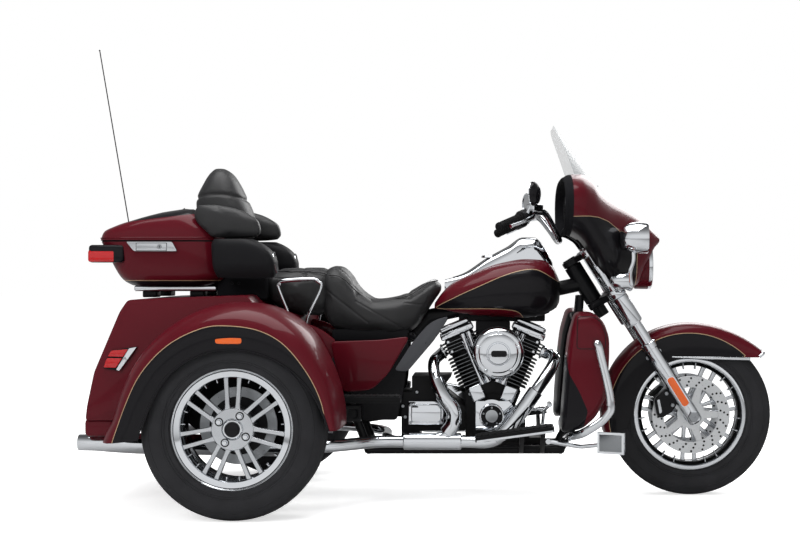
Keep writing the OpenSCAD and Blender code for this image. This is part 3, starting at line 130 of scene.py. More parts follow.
@dataclass(frozen=True)
class Finish:
    """Surface of one real material, built once as a node material.

    Grain and mottle sizes are in millimetres. A depth or share of 0 leaves that part out.
    """

    name: str
    colour: str
    metallic: float = 0.0
    roughness: float = 0.4
    ior: float = 1.5
    coat: float = 0.0
    coat_roughness: float = 0.03
    specular: float = 0.5
    grain_mm: float = 0.0
    grain_depth: float = 0.0
    cell_mm: float = 0.0
    mottle: float = 0.0
    mottle_mm: float = 60.0
    rough_spread: float = 0.0
    transmission: float = 0.0
    alpha: float = 1.0
    painted_glow: float = 0.0

    def material(self) -> Material:
        """Return the finish's material, making it at the first call."""
        made = bpy.data.materials.get(self.name)
        if made:
            return made
        material = bpy.data.materials.new(self.name)
        tree = cleared(material)
        shader = add_node(tree, "ShaderNodeBsdfPrincipled", {
            "Base Color": linear(self.colour), "Metallic": self.metallic, "Roughness": self.roughness,
            "IOR": self.ior, "Coat Weight": self.coat, "Coat Roughness": self.coat_roughness,
            "Specular IOR Level": self.specular, "Transmission Weight": self.transmission, "Alpha": self.alpha})
        # A painted glow: the surface gives off a little light in its own colour, though nothing lights it from
        # within.
        if self.painted_glow:
            shader.inputs["Emission Color"].default_value = linear(self.colour)
            shader.inputs["Emission Strength"].default_value = self.painted_glow
        place = add_node(tree, "ShaderNodeTexCoord").outputs["Object"]
        self.dress(tree, shader, place)
        add_node(tree, "ShaderNodeOutputMaterial", links={"Surface": shader.outputs[0]})
        return material

    def dress(self, tree: NodeTree, shader: Node, place: NodeSocket) -> None:
        """Add colour variation, uneven gloss and grain.

        Args:
            tree: the material's node tree.
            shader: its surface shader.
            place: object coordinates.
        """
        cloud = add_node(tree, "ShaderNodeTexNoise", {"Scale": 1 / (self.mottle_mm * MM), "Detail": 4.0},
                         {"Vector": place})
        if self.mottle:
            self.tint(tree, shader, cloud.outputs["Fac"])
        if self.rough_spread:
            spread = add_node(tree, "ShaderNodeMapRange", {
                3: max(0.02, self.roughness - self.rough_spread), 4: self.roughness + self.rough_spread},
                {0: cloud.outputs["Fac"]})
            tree.links.new(spread.outputs[0], shader.inputs["Roughness"])
        if self.grain_depth:
            grain = add_node(tree, "ShaderNodeTexNoise", {"Scale": 1 / (self.grain_mm * MM), "Detail": 3.0},
                             {"Vector": place})
            height = grain.outputs["Fac"]
            if self.cell_mm:
                cells = add_node(tree, "ShaderNodeTexVoronoi", {
                    "feature": "DISTANCE_TO_EDGE", "Scale": 1 / (self.cell_mm * MM)}, {"Vector": place})
                height = add_node(tree, "ShaderNodeMath", {"operation": "MULTIPLY_ADD", 1: 1.6},
                                  {0: cells.outputs["Distance"], 2: height}).outputs[0]
            bump = add_node(tree, "ShaderNodeBump", {"Strength": self.grain_depth, "Distance": 0.4 * MM},
                            {"Height": height})
            tree.links.new(bump.outputs[0], shader.inputs["Normal"])

    def tint(self, tree: NodeTree, shader: Node, amount: NodeSocket) -> None:
        """Let the colour drift darker and lighter by the mottle share."""
        base = linear(self.colour)
        ramp = add_node(tree, "ShaderNodeValToRGB", links={"Fac": amount})
        for stop, side in zip(ramp.color_ramp.elements, (-1, 1)):
            stop.position = 0.5 + side * 0.22
            stop.color = tuple(max(0.0, c * (1 + side * self.mottle)) for c in base[:3]) + (1.0,)
        tree.links.new(ramp.outputs[0], shader.inputs["Base Color"])


@dataclass(frozen=True)
class TwoTonePaint(Finish):
    """Candy lacquer with a black panel edged by a thin stripe.

    The panel follows the attribute panel_mm: millimetres inside the panel's edge, below 0 outside it.
    """

    panel: str = "#141215"
    stripe: str = "#b98a4e"
    stripe_in_mm: float = 0.0
    stripe_w_mm: float = 3.4

    def dress(self, tree: NodeTree, shader: Node, place: NodeSocket) -> None:
        """Colour the lacquer, its panel and the stripe between them."""
        inside = add_node(tree, "ShaderNodeAttribute", {"attribute_name": "panel_mm"}).outputs["Fac"]
        dark = add_node(tree, "ShaderNodeMath", {"operation": "GREATER_THAN", 1: self.stripe_in_mm}, {0: inside})
        ground = add_node(tree, "ShaderNodeMix", {"data_type": "RGBA", 6: linear(self.colour), 7: linear(self.panel)},
                          {0: dark.outputs[0]})
        line = add_node(tree, "ShaderNodeMath", {"operation": "COMPARE", 1: self.stripe_in_mm,
                                                 2: self.stripe_w_mm / 2}, {0: inside})
        colour = add_node(tree, "ShaderNodeMix", {"data_type": "RGBA", 7: linear(self.stripe)},
                          {0: line.outputs[0], 6: ground.outputs[2]})
        tree.links.new(colour.outputs[2], shader.inputs["Base Color"])
        flake = add_node(tree, "ShaderNodeTexVoronoi", {"Scale": 1 / (self.grain_mm * MM)}, {"Vector": place})
        spread = add_node(tree, "ShaderNodeMapRange", {3: self.roughness - self.rough_spread,
                                                       4: self.roughness + self.rough_spread},
                          {0: flake.outputs["Distance"]})
        tree.links.new(spread.outputs[0], shader.inputs["Roughness"])


@dataclass
class Shape:
    """Points in millimetres and the faces between them."""

    points: np.ndarray
    faces: list[tuple[int, ...]]

    def moved(self, offset: Point) -> Shape:
        """Return the shape shifted by an offset."""
        return Shape(self.points + np.array(offset, float), list(self.faces))

    def turned(self, axis: str, angle: float, about: Point = (0, 0, 0)) -> Shape:
        """Return the shape turned about an axis through a point."""
        turn = np.array(Matrix.Rotation(radians(angle), 3, axis))
        centre = np.array(about, float)
        return Shape((self.points - centre) @ turn.T + centre, list(self.faces))

    def mirrored(self) -> Shape:
        """Return the shape on the other side of the centre plane, facing outwards."""
        return Shape(self.points * np.array([1, -1, 1]), [tuple(reversed(f)) for f in self.faces])

    def both(self) -> Shape:
        """Return the shape and its mirror image as one."""
        return joined([self, self.mirrored()])

    def scaled(self, factors: Point, about: Point) -> Shape:
        """Return the shape stretched along the axes about a point."""
        centre = np.array(about, float)
        return Shape((self.points - centre) * np.array(factors, float) + centre, list(self.faces))


def joined(shapes: Sequence[Shape]) -> Shape:
    """Return several shapes as one, with their faces renumbered."""
    points, faces, start = [], [], 0
    for shape in shapes:
        points.append(shape.points)
        faces += [tuple(i + start for i in f) for f in shape.faces]
        start += len(shape.points)
    return Shape(np.vstack(points), faces)


def linked(name: str, data: ID) -> Object:
    """Return a new object in the scene that holds some data."""
    obj = bpy.data.objects.new(name, data)
    bpy.context.scene.collection.objects.link(obj)
    return obj


def cleared(owner: ID) -> NodeTree:
    """Return the emptied node tree of a material or a world."""
    owner.use_nodes = True
    owner.node_tree.nodes.clear()
    return owner.node_tree


def to_mesh(shape: Shape, name: str) -> Mesh:
    """Return a Blender mesh of a shape, in metres."""
    mesh = bpy.data.meshes.new(name)
    mesh.from_pydata((shape.points * MM).tolist(), [], shape.faces)
    mesh.update()
    return mesh


def from_mesh(mesh: Mesh) -> Shape:
    """Return a shape from a Blender mesh in metres."""
    points = np.zeros(len(mesh.vertices) * 3)
    mesh.vertices.foreach_get("co", points)
    return Shape(points.reshape(-1, 3) / MM, [tuple(p.vertices) for p in mesh.polygons])


def settled(obj: Object) -> Shape:
    """Return an object's shape after its modifiers, and remove the object."""
    depsgraph = bpy.context.evaluated_depsgraph_get()
    mesh = bpy.data.meshes.new_from_object(obj.evaluated_get(depsgraph))
    shape = from_mesh(mesh)
    bpy.data.objects.remove(obj)
    bpy.data.meshes.remove(mesh)
    return shape


def modified(shape: Shape, *steps: tuple[str, dict]) -> Shape:
    """Run a shape through modifiers and return the plain result.

    Args:
        shape: what goes in.
        steps: modifier types with their settings, in order.

    Returns:
        The shape with the modifiers applied.
    """
    obj = linked("blank", to_mesh(shape, "blank"))
    for kind, settings in steps:
        modifier = obj.modifiers.new(kind.lower(), kind)
        for key, value in settings.items():
            setattr(modifier, key, value)
    return settled(obj)


def subdivided(shape: Shape, levels: int = 1) -> Shape:
    """Return the shape's subdivision surface."""
    return modified(shape, ("SUBSURF", {"levels": levels, "render_levels": levels}))


def bevelled(shape: Shape, width_mm: float, segments: int = 2, angle: float = 30) -> Shape:
    """Return the shape with its sharp edges rounded."""
    return modified(shape, ("BEVEL", {"width": width_mm * MM, "segments": segments, "limit_method": "ANGLE",
                                      "angle_limit": radians(angle), "use_clamp_overlap": True}))


def thickened(shape: Shape, wall_mm: float, offset: float = -1.0, even: bool = True) -> Shape:
    """Return an open skin as a wall, inwards from the skin, if asked of even thickness also round tight bends."""
    return modified(shape, ("SOLIDIFY", {"thickness": wall_mm * MM, "offset": offset, "use_even_offset": even}))


def picked(shape: Shape, faces: Sequence[tuple[int, ...]]) -> Shape:
    """Return some faces of a shape with only the points that they use."""
    used = sorted({i for f in faces for i in f})
    number = {old: new for new, old in enumerate(used)}
    return Shape(shape.points[used], [tuple(number[i] for i in f) for f in faces])


def lined(skin: Shape, wall_mm: float) -> tuple[Shape, Shape]:
    """Return an open skin's wall as its outside and its liner with the rim."""
    shell = thickened(skin, wall_mm, even=False)
    n = len(skin.faces)
    return picked(shell, shell.faces[:n]), picked(shell, shell.faces[n:])


def outwards(shape: Shape) -> Shape:
    """Return a closed shape with doubles merged and all faces turned outwards."""
    bm = bmesh.new()
    mesh = to_mesh(shape, "turn")
    bm.from_mesh(mesh)
    bmesh.ops.remove_doubles(bm, verts=bm.verts, dist=0.01 * MM)
    bmesh.ops.recalc_face_normals(bm, faces=bm.faces)
    bm.to_mesh(mesh)
    bm.free()
    result = from_mesh(mesh)
    bpy.data.meshes.remove(mesh)
    return result


def smooth_path(points: Rows, steps: int, closed: bool = False) -> np.ndarray:
    """Return a smooth curve through points, with a number of steps between each two."""
    p = np.array(points, float)
    n = len(p)
    out = []
    for i in range(n if closed else n - 1):
        if closed:
            a, b, c, d = p[i - 1], p[i], p[(i + 1) % n], p[(i + 2) % n]
        else:
            b, c = p[i], p[i + 1]
            a = p[i - 1] if i else 2 * b - c
            d = p[i + 2] if i + 2 < n else 2 * c - b
        for s in range(steps):
            t = s / steps
            out.append(0.5 * (2 * b + (c - a) * t + (2 * a - 5 * b + 4 * c - d) * t * t
                              + (3 * b - a - 3 * c + d) * t ** 3))
    if not closed:
        out.append(p[-1])
    return np.array(out)


def smooth_table(rows: Rows, count: int) -> np.ndarray:
    """Resample a table along its first column by a monotone cubic, so that no column overshoots.

    Args:
        rows: table whose first column rises or falls all the way.
        count: number of rows wanted, evenly spaced.

    Returns:
        The finer table.
    """
    table = np.array(rows, float)
    key = table[:, 0] if table[-1, 0] > table[0, 0] else -table[:, 0]
    h = np.diff(key)
    out = [np.linspace(table[0, 0], table[-1, 0], count)]
    at = np.linspace(key[0], key[-1], count)
    seg = np.clip(np.searchsorted(key, at, side="right") - 1, 0, len(h) - 1)
    t = (at - key[seg]) / h[seg]
    for column in table[:, 1:].T:
        slope = np.diff(column) / h
        tangent = np.zeros(len(column))
        for i in range(1, len(column) - 1):
            if slope[i - 1] * slope[i] > 0:
                w1, w2 = 2 * h[i] + h[i - 1], h[i] + 2 * h[i - 1]
                tangent[i] = (w1 + w2) / (w1 / slope[i - 1] + w2 / slope[i])
        tangent[0], tangent[-1] = slope[0], slope[-1]
        y0, y1 = column[seg], column[seg + 1]
        m0, m1 = tangent[seg] * h[seg], tangent[seg + 1] * h[seg]
        out.append((1 + 2 * t) * (1 - t) ** 2 * y0 + t * (1 - t) ** 2 * m0 + t * t * (3 - 2 * t) * y1
                   + t * t * (t - 1) * m1)
    return np.array(out).T


def oval(a: float, b: float, exponent: float, n: int) -> np.ndarray:
    """Return n points of a superellipse with half sizes a and b."""
    t = 2 * pi * (np.arange(n) + 0.5) / n
    c, s = np.cos(t), np.sin(t)
    return np.stack([a * np.sign(c) * np.abs(c) ** (2 / exponent),
                     b * np.sign(s) * np.abs(s) ** (2 / exponent)], 1)


def lofted(rings: Sequence[np.ndarray], caps: bool = True, closed: bool = True) -> Shape:
    """Return the skin through rings of equal length.

    Args:
        rings: points of each ring.
        caps: whether the first and last ring are filled.
        closed: whether each ring closes on itself.

    Returns:
        The skin as quads, with fans at filled ends.
    """
    m, n = len(rings), len(rings[0])
    points = [np.vstack(rings)]
    faces = [(i * n + j, i * n + (j + 1) % n, (i + 1) * n + (j + 1) % n, (i + 1) * n + j)
             for i in range(m - 1) for j in range(n if closed else n - 1)]
    if caps:
        points.append(np.array([np.mean(rings[0], 0), np.mean(rings[-1], 0)]))
        first, last = m * n, m * n + 1
        faces += [(first, (j + 1) % n, j) for j in range(n)]
        faces += [(last, (m - 1) * n + j, (m - 1) * n + (j + 1) % n) for j in range(n)]
    return Shape(np.vstack(points), faces)


def stations_x(rows: Rows, count: int, n: int) -> list[np.ndarray]:
    """Rings across X from rows of x, half width, low z, high z and exponent."""
    return [np.array([[x, y, (low + high) / 2 + z] for y, z in oval(half, (high - low) / 2, e, n)])
            for x, half, low, high, e in smooth_table(rows, count)]


def stations_z(rows: Rows, count: int, n: int) -> list[np.ndarray]:
    """Rings across Z from rows of z, rear x, front x, half width and exponent."""
    return [np.array([[(rear + front) / 2 + x, y, z] for x, y in oval((front - rear) / 2, half, e, n)])
            for z, rear, front, half, e in smooth_table(rows, count)]


def lathe(profile: Rows, segments: int = 64) -> Shape:
    """Return a profile of radius and height turned about Z, closed where the radius is 0."""
    a = 2 * pi * np.arange(segments) / segments
    circle = np.stack([np.cos(a), np.sin(a)], 1)
    points: list[np.ndarray] = []
    index: list[list[int]] = []
    for r, h in profile:
        start = sum(len(p) for p in points)
        if r < 1e-6:
            points.append(np.array([[0, 0, h]], float))
            index.append([start] * segments)
        else:
            points.append(np.column_stack([circle * r, np.full(segments, h)]))
            index.append(list(range(start, start + segments)))
    faces = []
    for low, high in zip(index, index[1:]):
        for j in range(segments):
            k = (j + 1) % segments
            ring = [low[j], low[k], high[k], high[j]]
            face = tuple(dict.fromkeys(ring))
            if len(face) > 2:
                faces.append(face)
    return Shape(np.vstack(points), faces)


def along(shape: Shape, start: Point, direction: Point) -> Shape:
    """Return a shape built along Z, stood at a point along a direction."""
    turn = Vector((0, 0, 1)).rotation_difference(Vector(direction)).to_matrix()
    return Shape(shape.points @ np.array(turn).T + np.array(start, float), list(shape.faces))


def swept(path: np.ndarray, tangent: np.ndarray, radii: Point, sides: int, hint: Point) -> list[np.ndarray]:
    """Return the rings of a round tube that follows a path without twist.

    Args:
        path: middle of each ring.
        tangent: direction of the path at each ring.
        radii: radius of each ring.
        sides: points of each ring.
        hint: any direction off the path's start, from which the first ring is laid out.

    Returns:
        The rings.
    """
    tangent = tangent / np.linalg.norm(tangent, axis=1)[:, None]
    normal = np.cross(tangent[0], hint)
    a = 2 * pi * np.arange(sides)[:, None] / sides
    rings = []
    for p, t, r in zip(path, tangent, radii):
        normal = normal - t * normal.dot(t)
        normal /= np.linalg.norm(normal)
        rings.append(p + r * (np.cos(a) * normal + np.sin(a) * np.cross(t, normal)))
    return rings


def tube(points: Rows, radius: float | Point, sides: int = 20, steps: int = 6) -> Shape:
    """Return a round tube on a smooth curve, with domed ends.

    Args:
        points: what the curve passes through.
        radius: one radius, or one for each point.
        sides: faces round the tube.
        steps: rings between two points.

    Returns:
        The closed tube.
    """
    path = smooth_path(points, steps)
    radii = np.full(len(path), radius, float) if np.isscalar(radius) else np.interp(
        np.linspace(0, len(points) - 1, len(path)), np.arange(len(points)), radius)
    tangent = np.gradient(path, axis=0)
    rings = swept(path, tangent, radii, sides, (0.31, 0.87, 0.39))
    ends = []
    for i, way in ((0, -1), (-1, 1)):
        out = way * tangent[i] / np.linalg.norm(tangent[i])
        ends.append(rings[i] * 0.86 + path[i] * 0.14 + out * radii[i] * 0.1)
    return lofted([ends[0], *rings, ends[1]])


def ring_tube(path: np.ndarray, radius: float, sides: int) -> Shape:
    """Return a round tube along a closed path."""
    tangent = np.roll(path, -1, 0) - np.roll(path, 1, 0)
    rings = swept(path, tangent, [radius] * len(path), sides, (0.9, 0.1, 0.3))
    return lofted([*rings, rings[0]], caps=False)


def rounded(points: Rows, radius: float, steps: int = 5) -> np.ndarray:
    """Return a closed outline with its corners rounded."""
    p = np.array(points, float)
    out = []
    for i in range(len(p)):
        b, u, w = p[i], p[i - 1] - p[i], p[(i + 1) % len(p)] - p[i]
        d = min(radius, 0.46 * np.linalg.norm(u), 0.46 * np.linalg.norm(w))
        a, c = b + u / np.linalg.norm(u) * d, b + w / np.linalg.norm(w) * d
        for s in range(steps + 1):
            t = s / steps
            out.append(a * (1 - t) ** 2 + 2 * b * t * (1 - t) + c * t * t)
    return np.array(out)


def plate(outline: Rows, low: float, high: float, bevel: float = 0.0, segments: int = 2) -> Shape:
    """Return an outline in x and z drawn out along Y from low to high, with rounded edges."""
    flat = np.array(outline, float)
    area = np.sum(flat[:, 0] * np.roll(flat[:, 1], -1) - flat[:, 1] * np.roll(flat[:, 0], -1))
    if area < 0:
        flat = flat[::-1]
    n = len(flat)
    points = np.vstack([np.column_stack([flat[:, 0], np.full(n, y), flat[:, 1]]) for y in (low, high)])
    faces: list[tuple[int, ...]] = [tuple(range(n)), tuple(range(2 * n - 1, n - 1, -1))]
    faces += [(j, j + n, (j + 1) % n + n, (j + 1) % n) for j in range(n)]
    shape = Shape(points, faces)
    return bevelled(shape, bevel, segments, 40) if bevel else shape


def block(low: Point, high: Point, bevel: float = 3.0, segments: int = 2) -> Shape:
    """Return a box between two corners with rounded edges."""
    return plate([(low[0], low[2]), (high[0], low[2]), (high[0], high[2]), (low[0], high[2])], low[1], high[1],
                 bevel, segments)


def oblong(x0: float, z0: float, x1: float, z1: float, radius: float) -> np.ndarray:
    """Return a rectangle between two corners, with its corners rounded."""
    return rounded([(x0, z0), (x1, z0), (x1, z1), (x0, z1)], radius)


class Repeater:
    """Geometry Nodes tree that puts a template on places, realized and given a finish."""

    def __init__(self) -> None:
        """Build the tree with named inputs for its template, size and finish."""
        tree = bpy.data.node_groups.new("repeat_on_places", "GeometryNodeTree")
        face = tree.interface
        face.new_socket("Places", in_out="INPUT", socket_type="NodeSocketGeometry")
        self.template_id = face.new_socket("Template", in_out="INPUT", socket_type="NodeSocketObject").identifier
        self.size_id = face.new_socket("Size", in_out="INPUT", socket_type="NodeSocketFloat").identifier
        self.finish_id = face.new_socket("Finish", in_out="INPUT", socket_type="NodeSocketMaterial").identifier
        face.new_socket("Result", in_out="OUTPUT", socket_type="NodeSocketGeometry")
        given = add_node(tree, "NodeGroupInput").outputs
        template = add_node(tree, "GeometryNodeObjectInfo", {"As Instance": True}, {"Object": given["Template"]})
        turn = add_node(tree, "GeometryNodeInputNamedAttribute", {"data_type": "QUATERNION", "Name": "turn"})
        placed = add_node(tree, "GeometryNodeInstanceOnPoints", links={
            "Points": given["Places"], "Instance": template.outputs["Geometry"],
            "Rotation": turn.outputs["Attribute"], "Scale": given["Size"]})
        real = add_node(tree, "GeometryNodeRealizeInstances", links={"Geometry": placed.outputs[0]})
        dressed = add_node(tree, "GeometryNodeSetMaterial", links={
            "Geometry": real.outputs[0], "Material": given["Finish"]})
        add_node(tree, "NodeGroupOutput", links={"Result": dressed.outputs[0]})
        self.tree = tree

    def run(self, template: Shape, places: Sequence[tuple[Point, Quaternion]], finish: Finish,
            size: float = 1.0) -> Shape:
        """Repeat a template on places.

        Args:
            template: shape built about the origin.
            places: position in millimetres and turn of each copy.
            finish: what the copies are made of.
            size: factor on the template.

        Returns:
            All the copies as one shape.
        """
        carrier = bpy.data.meshes.new("places")
        carrier.from_pydata([tuple(c * MM for c in p) for p, _ in places], [], [])
        turn = carrier.attributes.new("turn", "QUATERNION", "POINT")
        turn.data.foreach_set("value", [c for _, q in places for c in q])
        stock = linked("template", to_mesh(template, "template"))
        obj = linked("places", carrier)
        modifier = obj.modifiers.new("repeat", "NODES")
        modifier.node_group = self.tree
        modifier[self.template_id] = stock
        modifier[self.size_id] = size
        modifier[self.finish_id] = finish.material()
        result = settled(obj)
        bpy.data.objects.remove(stock)
        return result


def spun(turns: Iterable[float]) -> list[tuple[Point, Quaternion]]:
    """Return places at the origin, turned about Z by degrees."""
    return [((0.0, 0.0, 0.0), Quaternion((0, 0, 1), radians(a))) for a in turns]


def unturned(spots: Iterable[Point]) -> list[tuple[Point, Quaternion]]:
    """Return places that are not turned."""
    return [(spot, Quaternion()) for spot in spots]


def facing(direction: Point, spin: float = 0.0) -> Quaternion:
    """Return the turn that points a template's Z axis along a direction, after a spin in degrees."""
    return Vector((0, 0, 1)).rotation_difference(Vector(direction)) @ Quaternion((0, 0, 1), radians(spin))


@dataclass
class Piece:
    """One named piece of the scene: shapes with their finishes, on one body."""

    name: str
    slot: str
    body: Body = Body.CHASSIS
    shapes: list[tuple[Shape, Finish]] = field(default_factory=list)

    def add(self, shape: Shape, finish: Finish) -> Piece:
        """Add a shape in a finish and return the piece."""
        self.shapes.append((shape, finish))
        return self

    def stand(self, at: Point, direction: Point, *parts: tuple[Shape, Finish], both: bool = False) -> Piece:
        """Add shapes built along Z, stood at a point along a direction, and mirrored too if asked."""
        for shape, finish in parts:
            stood = along(shape, at, direction)
            self.add(stood.both() if both else stood, finish)
        return self

    def build(self, *nodes: str, angle: float = 35.0,
              panel: Callable[[np.ndarray], np.ndarray] | None = None) -> Object:
        """Make the object, dress it and set it on its body.

        Args:
            nodes: solids that it stands for.
            angle: edges sharper than this many degrees stay sharp.
            panel: gives each point's millimetres inside the painted panel.

        Returns:
            The finished object.
        """
        whole = joined([s for s, _ in self.shapes])
        mesh = to_mesh(whole, self.name)
        finishes = list(dict.fromkeys(f for _, f in self.shapes))
        for finish in finishes:
            mesh.materials.append(finish.material())
        numbers = [i for s, f in self.shapes for i in [finishes.index(f)] * len(s.faces)]
        mesh.polygons.foreach_set("material_index", numbers)
        mesh.shade_smooth()
        mesh.set_sharp_from_angle(angle=radians(angle))
        if panel:
            values = mesh.attributes.new("panel_mm", "FLOAT", "POINT")
            values.data.foreach_set("value", panel(whole.points).astype(np.float32))
        obj = linked(self.name, mesh)
        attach(obj, self.body.value)
        if nodes:
            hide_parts(*nodes)
        LOG.info("%s: %d faces on %s", self.name, len(mesh.polygons), self.body.value)
        return obj


def inside_outline(points: np.ndarray, outline: np.ndarray) -> np.ndarray:
    """Return how far inside a closed outline in x and z each point lies, in millimetres.

    Args:
        points: points in space, read in their x and z.
        outline: corners of the outline.

    Returns:
        Distance to the outline, below 0 outside it.
    """
    p = points[:, [0, 2]]
    a, b = outline, np.roll(outline, -1, 0)
    best = np.full(len(p), np.inf)
    crossings = np.zeros(len(p), int)
    for s, e in zip(a, b):
        d = e - s
        t = np.clip(((p - s) @ d) / max(d @ d, 1e-9), 0, 1)
        best = np.minimum(best, np.linalg.norm(p - (s + t[:, None] * d), axis=1))
        spans = (s[1] > p[:, 1]) != (e[1] > p[:, 1])
        with np.errstate(divide="ignore", invalid="ignore"):
            x = s[0] + (p[:, 1] - s[1]) / (e[1] - s[1] if e[1] != s[1] else 1e-9) * (e[0] - s[0])
        crossings += spans & (p[:, 0] < x)
    return np.where(crossings % 2 == 1, best, -best)


# Finishes, each named for the real material; the comment above it says what that gives the eye.
# Metal flake under tinted clear lacquer: deep wine red with wide soft highlights and a thin hard gloss.
# Real flake is 0.05 mm; it is drawn at 0.9 mm so that it shows.
CANDY = TwoTonePaint("candy_red_over_black_lacquer", "#4c0a15", metallic=0.1, roughness=0.38, specular=0.08,
                     coat=0.22, coat_roughness=0.04, grain_mm=0.9, rough_spread=0.05, panel="#0f0e11",
                     stripe="#9c8468", stripe_in_mm=3.0, stripe_w_mm=2.6)
# The same lacquer where red meets black with no stripe between.
SPLIT_PAINT = replace(CANDY, name="candy_red_beside_black", stripe="#0f0e11")
# The same lacquer on pieces of one colour.
RED = Finish("candy_red_lacquer", "#4c0a15", metallic=0.1, roughness=0.38, specular=0.08, coat=0.22,
             coat_roughness=0.04)
# Sprayed black lacquer: deep black that mirrors its surroundings faintly.
LACQUER = Finish("black_lacquer", "#0d0c0f", roughness=0.3, specular=0.08, coat=0.22, coat_roughness=0.05)
# Plated and polished steel: a mirror, a little uneven where it was buffed.
CHROME = Finish("chrome_plated_steel", "#dcdfe3", metallic=1.0, roughness=0.06, rough_spread=0.03, mottle_mm=60)
# Cast and tumbled aluminium: pale grey with a soft sheen that varies.
SATIN = Finish("satin_cast_aluminium", "#aeb1b4", metallic=1.0, roughness=0.34, rough_spread=0.08, mottle_mm=25)
# Turned aluminium: brighter, with tighter highlights.
MACHINED = Finish("machined_aluminium", "#c9ccd0", metallic=1.0, roughness=0.2, rough_spread=0.06, mottle_mm=12)
# Milled edges of black fins: a darker, brushed glint.
FINNED = Finish("highlighted_fin_aluminium", "#8f9295", metallic=1.0, roughness=0.3, rough_spread=0.08, mottle_mm=14)
# Baked wrinkle coat: matt black with a fine pebble that breaks up highlights.
WRINKLE = Finish("black_wrinkle_engine_coat", "#121213", roughness=0.52, specular=0.12, grain_mm=1.6,
                 grain_depth=0.35)
# Powder coat on tubes: black with a dull, even gloss.
FRAME = Finish("black_powder_coat", "#0e0e10", roughness=0.36, specular=0.1, coat=0.1, coat_roughness=0.2)
# Moulded ABS with a fine texture: near black and matt.
PLASTIC = Finish("black_moulded_plastic", "#141416", roughness=0.5, specular=0.1, grain_mm=0.8, grain_depth=0.12)
# The same, moulded in dark grey.
GREY = Finish("dark_grey_moulded_plastic", "#404144", roughness=0.6, specular=0.08, grain_mm=0.8, grain_depth=0.12)
# Soft-touch coat: black that hardly shines, so open backs stay dark.
SOFT = Finish("black_soft_touch_plastic", "#171719", roughness=0.8, specular=0.02)
# Embossed seat vinyl: charcoal with a pebble grain, shinier in patches.
# Real grain is about 1 mm; it is drawn at 2.2 mm so that it shows.
LEATHER = Finish("black_seat_vinyl", "#232324", roughness=0.46, specular=0.28, grain_mm=0.9, cell_mm=2.2,
                 grain_depth=0.22, mottle=0.12, mottle_mm=70, rough_spread=0.07)
# Rolled vinyl cord: a thin, smoother line along a seam.
PIPING = Finish("black_piping_vinyl", "#1d1c1e", roughness=0.4)
# Bonded nylon thread: a dull grey dash.
THREAD = Finish("dark_grey_thread", "#37363a", roughness=0.75)
# Moulded rubber: matt black, slightly dusty.
RUBBER = Finish("black_rubber", "#121213", roughness=0.72, specular=0.1, grain_mm=1.2, grain_depth=0.15)
# Tyre rubber: dark grey that dries paler in patches.
TYRE = Finish("tyre_rubber", "#262628", roughness=0.78, specular=0.12, grain_mm=1.6, grain_depth=0.15, mottle=0.15,
              mottle_mm=90)
# Ground stainless steel: bright, with the blur of its grinding.
DISC = Finish("brake_disc_steel", "#cfd1d3", metallic=1.0, roughness=0.3, rough_spread=0.08, mottle_mm=8)
# Zinc plating on fasteners: mid grey metal.
STEEL = Finish("zinc_plated_steel", "#9b9ea2", metallic=1.0, roughness=0.3)
# Gaps and holes that no light reaches.
DARK = Finish("deep_shadow_black", "#050506", roughness=0.85)
# Moulded lens plastic: clear and smooth.
GLASS = Finish("clear_polycarbonate", "#f2f6f7", roughness=0.03, ior=1.45, transmission=1.0)
# Tinted acrylic sheet: a faint grey veil over what lies behind.
SCREEN = Finish("tinted_screen_polycarbonate", "#7d8487", roughness=0.2, specular=0.05, alpha=0.22)
# Vapour-coated reflector: a bright, soft mirror.
BULB = Finish("lamp_reflector", "#e8ebee", metallic=1.0, roughness=0.12)
# Dyed lens plastic: saturated red, with a faint painted glow that makes it seem to hold light.
RED_LENS = Finish("red_lamp_lens", "#9c060c", roughness=0.12, coat=0.3, painted_glow=0.12)
# The same, dyed amber, with a fainter painted glow.
AMBER = Finish("amber_lens", "#c65208", roughness=0.14, coat=0.4, painted_glow=0.04)
# Printed gauge face: flat black.
FACE = Finish("gauge_face", "#0b0c0e", roughness=0.4)
# White print and porcelain: off-white, matt.
NEEDLE = Finish("gauge_marks", "#d9dadb", roughness=0.5)


class Bolts(Repeater):
    """Hardware repeated over a piece by Geometry Nodes."""

    @staticmethod
    def hex_head(radius: float, height: float) -> Shape:
        """Return a six-sided head with a rounded top on a washer face."""
        washer = lathe([(0, 0), (radius * 1.12, 0), (radius * 1.12, height * 0.16), (0, height * 0.16)], 24)
        head = lathe([(radius, height * 0.16), (radius, height * 0.85), (radius * 0.86, height), (0, height)], 6)
        return joined([washer, head])

    @staticmethod
    def cap_head(radius: float, height: float) -> Shape:
        """Return a round socket head with its hexagon recess."""
        return lathe([(radius, 0), (radius, height * 0.8), (radius * 0.86, height), (radius * 0.52, height),
                      (radius * 0.5, height * 0.45), (0, height * 0.45)], 18)

    @staticmethod
    def dome(radius: float, height: float) -> Shape:
        """Return a domed head."""
        return lathe([(radius * cos(a), height * sin(a)) for a in np.linspace(0, pi / 2, 6)], 18)

    def put(self, piece: Piece, head: Shape, places: Rows, direction: Point, finish: Finish) -> None:
        """Add heads to a piece at places, all facing one way."""
        piece.add(self.run(head, [(p, facing(direction)) for p in places], finish), finish)

    def ring(self, piece: Piece, head: Shape, centre: Point, radius: float, count: int, side: int, finish: Finish,
             start: float) -> None:
        """Add heads to a piece on a circle about an axis along Y, from a start in degrees."""
        angles = [radians(start) + 2 * pi * k / count for k in range(count)]
        places = [(centre[0] + radius * cos(a), centre[1], centre[2] + radius * sin(a)) for a in angles]
        self.put(piece, head, places, (0, side, 0), finish)


